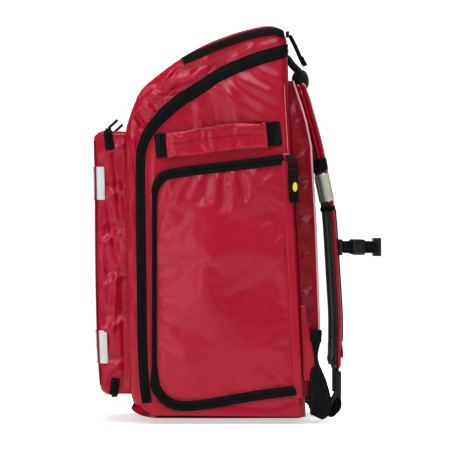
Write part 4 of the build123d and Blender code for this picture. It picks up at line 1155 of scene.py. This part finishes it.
# %% Side handles
for label, turn in (("right", 1.0), ("left", -1.0)):
    y = np.linspace(-91, 60, 64)
    z = 411.5 + 15 * (y + 88) / 145 + 1.2 * np.sin((y + 40) / 22)
    x = 190.2 + 1.6 * np.cos((y + 16) / 60)
    sleeve_path = np.stack([turn * x, y, z], axis=1)
    padded_tube("side_handle_sleeve_" + label, sleeve_path, (0, 0.1, 1.0), 38.5, 8.0, "side_handle_" + label, red,
                ["side_handle_" + label], seam=0.3, seed=9, puff=0.5, power=4.0, nick=0.42)
    mid_line = sleeve_path[3:-3] + np.array([turn * 3.7, 0, 2.0])
    stitches("side_handle_stitch_" + label, mid_line, (turn, 0, 0), "side_handle_" + label, thread_red, 4.0, 2.9, 0.65)
    for off in (15.4,):
        line = sleeve_path[3:-3] + np.array([turn * 3.4, 0, off])
        stitches("side_handle_edge_%s_%s" % (label, "top" if off > 0 else "low"), line, (turn, 0, 0),
                 "side_handle_" + label, thread_red, 4.4, 3.0, 0.4)
    for end, y0, y1, x0, x1 in (("fore", -107.5, -88, 181.8, 187.5), ("rear", 81, 57, 181.8, 187.5)):
        at_y = np.linspace(y0, y1, 20)
        lift_z = 411.5 + 15 * (at_y + 88) / 145
        at_x = np.interp(np.linspace(0, 1, 20), [0, 0.35, 0.8, 1], [x0, x0 + 0.8, x1, x1 + 0.4])
        tab = strap("side_tab_%s_%s" % (end, label), np.stack([turn * at_x, at_y, lift_z], axis=1), (0, 0.1, 1.0),
                    36, 3.2, around=24)
        dress(tab, "bag", webbing, ["side_handle_tabs"] if (end, label) == ("fore", "right") else ())
        for k in (0.12, 0.3):
            here = np.array([turn * (x0 + 2.2), y0 + (y1 - y0) * k, 0])
            bar = np.stack([np.full(12, here[0]), np.full(12, here[1]),
                            np.linspace(395, 427, 12) + 15 * (here[1] + 88) / 145], axis=1)
            stitches("side_tab_stitch_%s_%s_%d" % (end, label, 100 * k), bar, (turn, 0, 0), "bag", thread_black, 3.4,
                     2.6, 0.5)

# %% Side zip pulls with a generic coloured dot
for label, turn in (("right", 1.0), ("left", -1.0)):
    body = "side_zip_pull_" + label
    low, high = (1000 * np.array(c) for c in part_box(body))
    mid_x, mid_y = (low[0] + high[0]) / 2, (low[1] + high[1]) / 2
    drop = np.linspace(high[2] - 1, low[2] + 0.5, 30)
    sway = mid_x + turn * (1.0 * np.sin((high[2] - drop) / 16))
    pull_path = np.stack([sway, mid_y + 2.2 * ((high[2] - drop) / 62) ** 2, drop], axis=1)
    dress(strap("side_pull_web_" + label, pull_path, (0, 1.0, 0), 15, 2.4), body, webbing, [body])
    fold = pull_path[-12:] + np.array([turn * 2.4, 0, 1.0])
    dress(strap("side_pull_fold_" + label, fold, (0, 1.0, 0), 14.4, 2.0), body, webbing, ())
    turn_at = np.linspace(0, 2 * np.pi, 28, endpoint=False)
    dot_at = pull_path[18] + np.array([turn * 3.9, 2.6, 0])
    dot = np.stack([dot_at + np.stack([np.full(28, turn * h), 3.6 * r * np.cos(turn_at), 7.2 * r * np.sin(turn_at)],
                                      axis=1) for h, r in ((-0.6, 1.0), (0.4, 1.0), (0.8, 0.86), (0.9, 0.4))])
    dress(tube_mesh("side_pull_dot_" + label, dot), body, yellow, ())
    for z in (high[2] - 12, low[2] + 19):
        bar = np.stack([np.full(8, mid_x + turn * 2.0), np.linspace(mid_y - 6, mid_y + 6, 8), np.full(8, z)], axis=1)
        stitches("side_pull_tack_%s_%d" % (label, z), bar, (turn, 0, 0), body, thread_black, 2.6, 2.2, 0.5)

# %% Top zip pull
low, high = (1000 * np.array(c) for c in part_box("top_zip_pull"))
fall = curve([(low[1] + 0.5, high[2] - 1), (low[1] + 3.5, high[2] - 7), (low[1] + 9, high[2] - 18),
              (low[1] + 17, high[2] - 36), (high[1] - 0.5, low[2] + 1)], 40)
pull_path = np.concatenate([np.full((40, 1), (low[0] + high[0]) / 2), fall], axis=1)
dress(strap("top_pull_web", pull_path, (1.0, 0, 0), 12, 6.0), "top_zip_pull", webbing, ["top_zip_pull"])
dress(strap("top_pull_fold", pull_path[-13:] + np.array([0, 2.6, 0.9]), (1.0, 0, 0), 11.4, 4.0), "top_zip_pull",
      webbing, ())

# %% Grab handle
low, high = (1000 * np.array(c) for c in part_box("grab_handle"))
bar_y, bar_z = 113.5, 516.5
roll_x = np.linspace(-47, 47, 50)
roll = np.stack([roll_x, bar_y + 1.5 * np.cos(roll_x / 30), bar_z - 1.5 * np.cos(roll_x / 30)], axis=1)
padded_tube("grab_roll", roll, (0, 0.42, -0.9), 29, 22, "grab_handle", grey_mesh, ["grab_handle"],
            power=2.2, seed=15, puff=1.0)
for turn in (1.0, -1.0):
    arm = curve([(high[1] - 34, 552), (high[1] - 29, 547), (high[1] - 24, 540), (bar_y - 2, bar_z + 12),
                 (bar_y + 4, bar_z + 2)], 30)
    arm_path = np.concatenate([np.full((30, 1), turn * 35), arm], axis=1)
    label = "right" if turn > 0 else "left"
    dress(strap("grab_arm_" + label, arm_path, (1.0, 0, 0), 24, 8.0, power=3), "grab_handle", grey_mesh, ())
seam = roll[4:-4] + np.array([0, 7.2, 3.5])
stitches("grab_stitch", seam, (0, 0.9, 0.42), "grab_handle", thread_black, 4.4, 3.0, 0.5)
print("handles made")

# %% [markdown]
# ## Back panel
# The back pad is spacer mesh over foam, quilted into channels, on a red boxed edge that wrinkles where it bends,
# darkened as painted shade. The piping round the edge is red coloured pale pink as a painted highlight. The pad is a
# height field over the back, simulated so that the quilts puff.


# %% Pad
def rear_wall(z):
    """Y of the back wall at a height, from the outline's rear edge."""
    return np.interp(z, rear_edge[::-1, 1] if rear_edge[0, 1] > rear_edge[-1, 1] else rear_edge[:, 1],
                     rear_edge[::-1, 0] if rear_edge[0, 1] > rear_edge[-1, 1] else rear_edge[:, 0])


edge_heights = np.array([30.0, 60, 138, 290, 410, 445, 468, 507])
edge_reach = np.array([124.0, 132, 138, 132.5, 125.5, 118.5, 112, 99.0])


def pad_reach(z):
    """Y of the pad's piped edge at a height."""
    return np.interp(z, edge_heights, edge_reach)


pad_half = 160.0
u, v = np.meshgrid(np.linspace(-1, 1, 110), np.linspace(0, 1, 150))
pad_x, pad_z = u * pad_half, 32 + v * 436
pad_in = np.minimum(pad_half - np.abs(pad_x), np.minimum(pad_z - 32, 468 - pad_z))
channel = 6.0 * np.exp(-((pad_x / 17) ** 2))
quilt = 2.6 * (np.exp(-(((pad_x - 84 * np.sign(pad_x)) / 3.2) ** 2)) + sum(
    np.exp(-(((pad_z - q) / 3.2) ** 2)) for q in (130, 230, 330, 420)))
round_off = np.sqrt(np.clip(1 - (1 - np.clip(pad_in / 9, 0, 1)) ** 2, 0, 1))
pad_y = pad_reach(pad_z) - 5 + 4.5 * round_off - eased(pad_in, 4, 16) * (channel + quilt - 1.2)
pad_y += eased(pad_in, 4, 16) * ripple(pad_x, pad_z, 61, 90, 0.8)
pad_y = np.minimum(pad_y, pad_reach(pad_z) + 1.0)
pad_grid = np.stack([pad_x, pad_y, pad_z], axis=-1)
pad = sheet_mesh("back_pad_mesh", pad_grid, (0, 1, 0))
quilt_hold = np.clip(quilt.ravel() / 2.6, 0, 1) * 0.95
simulate(pad, np.maximum(grid_edge_hold(150, 110, 3), quilt_hold), 0.5, 0.02, frames=14, stiff=2.0, cap=2.5)
dress(pad, "bag", mesh_black, ["back_pad"], thick=4.0)

# %% Boxed edge with its wrinkles
box_z = np.concatenate([np.linspace(33, 508, 190)])
box_t = np.linspace(0, 1, 26)
gy = rear_wall(box_z)[:, None] * (1 - box_t) + pad_reach(box_z)[:, None] * box_t
gz = box_z[:, None] + 0 * box_t[None]
narrow = 10.0 * eased(gz, 440, 508)
pleats = [(100 + 6 * (k % 2), 60 + 27 * k, 128, 74 + 27 * k + 8 * (-1) ** k, 4, 2.6 * (-1) ** k) for k in range(16)]
gx = 170.5 - narrow - 5 * box_t[None] + np.sin(np.pi * box_t[None]) ** 0.8 * (
    1.5 + creases(gy, gz, pleats) + ripple(gy, gz, 91, 34, 1.5))
box_grid = np.stack([gx, gy, gz], axis=-1)
for label, turn in (("right", 1.0), ("left", -1.0)):
    piece = sheet_mesh("pad_box_" + label, box_grid * np.array([turn, 1, 1]), (turn, 0, 0))
    # Painted shade: the boxed edge is drawn in the darkened red.
    dress(piece, "bag", red_painted_shade, (), levels=1)
    rim_path = box_grid[:, -1] * np.array([turn, 1, 1])
    # Painted highlight: the piping's pale pink stands for light on red piping.
    dress(cord_tube("pad_piping_" + label, rim_path + np.array([turn * 0.5, 0.8, 0]), 1.7), "bag", piping, ())
    strip = np.stack([rim_path[:, 0] + turn * 0.8, rim_path[:, 1] - 4.2, rim_path[:, 2]], axis=1)
    # Painted shade: the strip beside the piping is drawn in the darkened red.
    dress(strap("pad_strip_" + label, strip, (0, 1.0, 0.1), 6.0, 1.4, around=12), "bag", red_painted_shade, ())
closing_z = np.array([box_z[0], box_z[-1]])
for name, row, up in (("pad_foot", 0, -1), ("pad_head", -1, 1)):
    x_row = np.linspace(1, -1, 60)[None]
    depth_rows = np.linspace(0, 1, 8)[:, None]
    y_grid = gy[row, 0] * (1 - depth_rows) + (gy[row, -1] - 1.0) * depth_rows + 0 * x_row
    grid = np.stack([(gx[row].min() - 0.2) * x_row + 0 * depth_rows, y_grid, np.full_like(y_grid, box_z[row])], axis=-1)
    # Painted shade: the pad's closing ends are drawn in the darkened red.
    dress(sheet_mesh(name, grid, (0, 0, up)), "bag", red_painted_shade, ())

# %% Yoke and anchor wings
yoke_x, yoke_z = np.meshgrid(np.linspace(-150, 150, 90), np.linspace(466, 508, 16))
yoke_y = pad_reach(yoke_z) + 0.8 - 1.5 * np.exp(-(((yoke_z - 470) / 3) ** 2)) + ripple(yoke_x, yoke_z, 14, 60, 0.6)
yoke = sheet_mesh("yoke_skin", np.stack([yoke_x, yoke_y, yoke_z], axis=-1), (0, 1, 0))
dress(yoke, "bag", red, ["strap_yoke"], thick=2.0)
stitches("yoke_stitch_low", np.stack([yoke_x[2], yoke_y[2] + 0.6, yoke_z[2]], axis=1), (0, 1.0, 0.2), "bag", thread_red)
stitches("yoke_stitch_top", np.stack([yoke_x[-3], yoke_y[-3] + 0.6, yoke_z[-3]], axis=1), (0, 1.0, 0.2), "bag",
         thread_red)
for label, turn in (("right", 1.0), ("left", -1.0)):
    wing_z, wing_t = np.meshgrid(np.linspace(57, 170, 40), np.linspace(0, 1, 10), indexing="ij")
    reach = np.interp(wing_z, [57, 62, 92, 170], [128, 132, 131, 118])
    wing_y = rear_wall(wing_z) * (1 - wing_t) + reach * wing_t
    wing_x = turn * (174.5 + 1.2 * np.sin(wing_z / 14) * wing_t)
    wing = sheet_mesh("anchor_wing_" + label, np.stack([wing_x, wing_y, wing_z], axis=-1), (turn, 0, 0))
    dress(wing, "bag", red, ["anchor_wings"] if turn > 0 else (), thick=2.6)
    stitches("wing_stitch_" + label, np.stack([wing_x[:, -2] + turn * 0.3, wing_y[:, -2], wing_z[:, -2]], axis=1),
             (turn, 0, 0), "bag", thread_red)
print("back panel made")

# %% [markdown]
# ## Shoulder straps
# Each strap has a foam core in black mesh, a red face, a reflective sleeve and a webbing rail on which the sternum
# ring slides. Below, webbing runs to the ladder lock and loops to the floor and back.

# %% Strap layers
def twist(count, turn):
    """Side directions of slack webbing: square across at both ends and turned by up to 40 degrees between them."""
    angle = np.radians(40) * np.sin(np.pi * np.linspace(0, 1, count)) ** 2
    return np.stack([np.cos(angle), turn * np.sin(angle), 0 * angle], axis=1)


strap_inner_line = [(102.5, 503), (110, 480), (117, 455), (130, 406), (139, 358), (147, 315), (152, 250), (155, 203),
                    (158, 149), (157.5, 100), (157, 72)]
core = curve(strap_inner_line, 150)
core3 = np.concatenate([np.full((150, 1), 84.0), core], axis=1)
_, _, core_out = frames_along(core3, (1.0, 0, 0))
core_out *= np.sign(core_out[:, 1].sum())
share = np.linspace(0, 1, 150)
for label, turn in (("right", 1.0), ("left", -1.0)):
    body = "shoulder_strap_" + label
    mirror = np.array([turn, 1, 1])
    foam_thick = 9.6 - 3.0 * eased(share, 0.86, 1.0)
    padded_tube("strap_foam_" + label, (core3 + core_out * 4.6) * mirror, (1.0, 0, 0), 63 - 10 * eased(share, 0.8, 1),
                foam_thick, body, mesh_black, ["shoulder_foam_" + label], power=4.5, seed=31, puff=1.0,
                around=40)
    foam = bpy.data.objects["strap_foam_" + label]
    foam.data.materials.append(red)
    height_at = np.empty(len(foam.data.polygons) * 3, np.float32)
    foam.data.polygons.foreach_get("center", height_at)
    foam.data.polygons.foreach_set("material_index", (height_at[2::3] > 0.385).astype(np.int32))
    face_path = (core3 + core_out * 12.6) * mirror
    dress(strap("strap_face_" + label, face_path, (1.0, 0, 0), 63.5 - 9 * eased(share, 0.82, 1), 8.4, power=5,
                around=28), body, red, ["shoulder_face_" + label], levels=1)
    flare = curve([(170.5, 152), (172.5, 125), (175.5, 100), (176, 88)], 24)
    flare3 = np.concatenate([np.full((24, 1), 84.0), flare], axis=1) * mirror
    dress(strap("strap_flap_" + label, flare3, (1.0, 0, 0), np.linspace(44, 52, 24), 2.4), body, red, ())
    in_sleeve = (core[:, 1] > 321) & (core[:, 1] < 371)
    dress(strap("strap_reflective_" + label, (core3 + core_out * 9.2)[in_sleeve] * mirror, (1.0, 0, 0), 65.6, 17.6,
                power=6, around=36, ends=0.06), body, cream, ["shoulder_reflective_" + label])
    in_cuff = (core[:, 1] > 369) & (core[:, 1] < 395)
    dress(strap("strap_cuff_" + label, (core3 + core_out * 9.2)[in_cuff] * mirror, (1.0, 0, 0), 66, 18, power=6,
                around=36, ends=0.06), body, webbing, ())
    in_gather = (core[:, 1] > 307) & (core[:, 1] < 321)
    dress(strap("strap_gather_" + label, (core3 + core_out * 9.2)[in_gather] * mirror, (1.0, 0, 0), 65, 17.6,
                power=6, around=36, ends=0.1), body, binding, ())
    on_rail = (core[:, 1] > 112) & (core[:, 1] < 316)
    rail = (core3 + core_out * 18.0)[on_rail] * mirror
    dress(strap("strap_rail_" + label, rail, (1.0, 0, 0), 24, 2.2), body, webbing, ())
    for off in (28.5, -28.5):
        line = face_path[6:-22] + (core_out * 4.0)[6:-22] * mirror + np.array([off, 0, 0])
        stitches("strap_stitch_%s_%s" % (label, "out" if off > 0 else "in"), line, core_out[6:-22] * mirror, body,
                 thread_red, 4.4, 3.0, 0.45)
    hang_path = curve([(168.5, 118), (169, 100), (170, 84), (169.5, 70), (169, 66)], 30)
    hang3 = np.concatenate([np.full((30, 1), 84.0), hang_path], axis=1) * mirror
    dress(strap("strap_hanger_" + label, hang3, (1.0, 0, 0), 25, 2.4), body, webbing, ())
    loop = curve([(169.5, 33), (169, 24), (166, 12), (158, 2.6), (149, 1.8), (138, 6.5), (126, 16), (119.5, 24)], 70)
    loop3 = np.concatenate([np.full((70, 1), 84.0), loop], axis=1) * mirror
    dress(strap("lower_webbing_" + label, loop3, twist(70, turn), 25, 2.4), "bag", webbing,
          ["lower_strap_webbing"] if turn > 0 else ())
    tail = curve([(172, 40), (171, 28), (167.5, 14), (160, 6.0), (152, 8), (147, 20), (145.5, 30)], 50)
    tail3 = np.concatenate([np.full((50, 1), 84.0), tail], axis=1) * mirror
    dress(strap("loose_tail_" + label, tail3, twist(50, turn), 24, 2.2), "bag", webbing, ())
print("shoulder straps made")

# %% [markdown]
# ## Sternum strap and waist belt
# The sternum halves bow out from their rings to the buckle in front of the wearer. Each carries a small adjuster.
# The waist belt's webbing hangs beside the back in a leaf shape, its end folded and sewn.

# %% Sternum strap
buckle = [1000 * np.array(c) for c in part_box("sternum_buckle_socket")]
buckle_y, buckle_z = (buckle[0][1] + buckle[1][1]) / 2, (buckle[0][2] + buckle[1][2]) / 2
ring_low, ring_high = (1000 * np.array(c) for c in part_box("sternum_ring_right"))
bow = curve([(90, ring_high[1] + 2.2), (80, ring_high[1] + 2.6), (72, ring_high[1] + 8), (62, buckle_y - 34),
             (54, buckle_y - 14), (46, buckle_y - 3), (38, buckle_y), (32, buckle_y)], 70)
bow3 = np.stack([bow[:, 0], bow[:, 1], np.full(70, buckle_z)], axis=1)
for label, turn, body in (("right", 1.0, "sternum_right"), ("left", -1.0, "sternum_plug")):
    mirror = np.array([turn, 1, 1])
    dress(strap("sternum_web_" + label, bow3 * mirror, (0, 0, 1.0), 18, 2.2), body, webbing,
          ["sternum_webbing_" + label])
    block = bow3[24:42] * mirror
    dress(strap("sternum_adjuster_" + label, block, (0, 0, 1.0), 24, 6.5, power=4, ends=1.0), body, plastic, ())
    tail3 = (bow3[22:40] + np.array([2.2, -3.0, 0])) * mirror
    dress(strap("sternum_tail_" + label, tail3, (0, 0, 1.0), 17, 2.0), body, webbing, ())

# %% Waist belt
for label, turn in (("right", 1.0), ("left", -1.0)):
    body = "waist_belt_" + label
    low, high = (1000 * np.array(c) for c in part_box(body))
    leaf = curve([(134, 2.5), (139, 14), (139.5, 30), (136.5, 55), (131.5, 80), (130, 96), (132, 112), (133.5, 134)],
                 80)
    leaf_x = (low[0] + high[0]) / 2 + turn * 1.5 * np.sin(leaf[:, 1] / 20)
    leaf3 = np.stack([leaf_x, leaf[:, 0], leaf[:, 1]], axis=1)
    wide = np.interp(leaf[:, 1], [2, 12, 28, 55, 80, 98, 115, 134], [20, 33, 34, 26, 15, 12, 16, 17])
    dress(strap("belt_leaf_" + label, leaf3, (0, 1.0, 0), wide, 3.2, around=24), body, webbing, [body])
    fold = leaf3[leaf[:, 1] > 114] + np.array([turn * 3.2, 0.5, -0.5])
    dress(strap("belt_fold_" + label, fold, (0, 1.0, 0), 17.5, 2.8), body, webbing, ())
    for side_off in (0.36, -0.36):
        line = leaf3[6:58] + np.stack([np.full(52, turn * 1.7), side_off * wide[6:58], np.zeros(52)], axis=1)
        stitches("belt_stitch_%s_%s" % (label, "rear" if side_off > 0 else "fore"), line, (turn, 0, 0), body,
                 thread_black, 3.6, 2.6, 0.4)
print("harness made")

# %% [markdown]
# ## Inside
# The liners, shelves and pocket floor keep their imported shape, softened at the edges and covered in lining cloth.


# %% Interior cloth
def soft_copy(node, body, material, radius=0.9, mark=None):
    """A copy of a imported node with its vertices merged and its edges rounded, in cloth."""
    source = frame["nodes"][node]
    obj = bpy.data.objects.new(node + "_cloth", source.data.copy())
    bpy.context.scene.collection.objects.link(obj)
    obj.data.materials.clear()
    weld = obj.modifiers.new("weld", "WELD")
    weld.merge_threshold = 0.00005
    bevel = obj.modifiers.new("bevel", "BEVEL")
    bevel.width = radius * MM
    bevel.segments = 2
    bevel.limit_method = "ANGLE"
    co = np.empty(len(obj.data.vertices) * 3, np.float32)
    obj.data.vertices.foreach_get("co", co)
    loops = np.empty(len(obj.data.loops), np.int32)
    obj.data.loops.foreach_get("vertex_index", loops)
    layer = obj.data.uv_layers.new(name="UVMap") if not obj.data.uv_layers else obj.data.uv_layers[0]
    flat = co.reshape(-1, 3)[loops]
    layer.data.foreach_set("uv", np.ascontiguousarray(flat[:, [1, 2]] + flat[:, :1] * 0.5).astype(np.float32).ravel())
    return dress(obj, body, material, [node])


soft_copy("side_pocket_liners", "bag", lining)
soft_copy("inner_shelves", "bag", lining, 2.0)
floor_cloth = soft_copy("top_pocket_floor", "front_cover", lining)
floor_co = np.empty(len(floor_cloth.data.vertices) * 3, np.float32)
floor_cloth.data.vertices.foreach_get("co", floor_co)
floor_co = floor_co.reshape(-1, 3)
floor_mid = (floor_co.max(0) + floor_co.min(0)) / 2
floor_co[:, :2] = floor_mid[:2] + (floor_co[:, :2] - floor_mid[:2]) * 0.95
floor_cloth.data.vertices.foreach_set("co", floor_co.ravel())

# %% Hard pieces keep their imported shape
kept = {
    "zip_metal": (metal, ["front_pocket_slider_right", "front_pocket_slider_left", "front_pocket_base_slider",
                          "side_zip_slider_right", "side_zip_slider_left", "top_zip_slider", "main_zip_slider_front",
                          "main_zip_slider_rear"]),
    "black_plastic": (plastic, ["ladder_lock_right", "ladder_lock_left", "sternum_ring_right", "sternum_ring_left",
                                "sternum_buckle_socket", "sternum_buckle_plug"]),
    "stiff_board": (board_plastic, ["base_board", "frame_sheet"]),
}
for slot_name, (material, names) in kept.items():
    for name in names:
        frame["nodes"][name].data.materials.clear()
        frame["nodes"][name].data.materials.append(material)

# %% [markdown]
# ## Seams
# The rear seam of each side wall carries a thin piping above, coloured pale pink as a painted highlight, and a cord of
# darkened red below as painted shade. Rows of thread follow the door zips and the main zip.

# %% Seam piping
for label, turn in (("right", 1.0), ("left", -1.0)):
    seam_yz = rear_edge[:, :] + np.array([-1.0, 0])
    at_x = wall_x(seam_yz[:, 0] - 5.5, seam_yz[:, 1]) + 0.7
    seam3 = np.stack([turn * at_x, seam_yz[:, 0] - 5.5, seam_yz[:, 1]], axis=1)
    upper = (seam3[:, 2] > 400) & (seam3[:, 2] < 515)
    lower = (seam3[:, 2] > 20) & (seam3[:, 2] <= 399)
    # Painted highlight: the upper piping is pale pink for light on red piping. Painted shade: the lower cord is drawn
    # in the darkened red.
    dress(cord_tube("rear_piping_" + label, spaced(seam3[upper], 60), 0.5), "bag", piping, ())
    dress(cord_tube("rear_seam_" + label, spaced(seam3[lower], 120), 0.7), "bag", red_painted_shade, ())

# %% Stitch rows by the zips
normal_of = lambda turn: (turn, 0.0, 0.0)
door_line = spaced(np.concatenate([top[::-1][:-1], fore[::-1][:-1], bottom]), 300)
centre = door_loop.mean(0)
side_tangent = unit(np.gradient(door_line, axis=0))
outward = np.stack([side_tangent[:, 1], -side_tangent[:, 0]], axis=1)
outward *= np.sign(((door_line - centre) * outward).sum())
for label, turn in (("right", 1.0), ("left", -1.0)):
    level = eased(np.abs(door_line[:, 1] - 205), 120, 160)[:, None]
    for row, off, body in (("outer", 10.4, "bag"), ("inner", -10.4, "side_door_" + label)):
        shift = off * (0.52 + 0.48 * level)
        yz = door_line + outward * shift
        x = wall_x(yz[:, 0], yz[:, 1], body_folds, 3, 0.8) + 0.25 if body == "bag" else np.full(300, half_width + 0.5)
        line = np.stack([turn * x, yz[:, 0], yz[:, 1]], axis=1)
        stitches("door_stitch_%s_%s" % (row, label), line, normal_of(turn), body, thread_red)
wide_main = 7.4 + 2.6 * eased(main_side[:, 2], 400, 480)
tangent = unit(np.gradient(main_side[:, 1:], axis=0))
square = np.stack([tangent[:, 1], -tangent[:, 0]], axis=1)
square *= np.sign(square[:, 0].sum())
for label, turn in (("right", 1.0), ("left", -1.0)):
    for row, sign, body, folds, seed in (("body", 1, "bag", body_folds, 3), ("cover", -1, "front_cover", cover_folds, 8)):
        yz = main_side[:, 1:] + square * (sign * (wide_main + 3.0))[:, None]
        x = wall_x(yz[:, 0], yz[:, 1], folds, seed, 0.75) + 0.3
        stitches("main_stitch_%s_%s" % (row, label), np.stack([turn * x, yz[:, 0], yz[:, 1]], axis=1)[4:-4],
                 normal_of(turn), body, thread_red)
print("seams made")
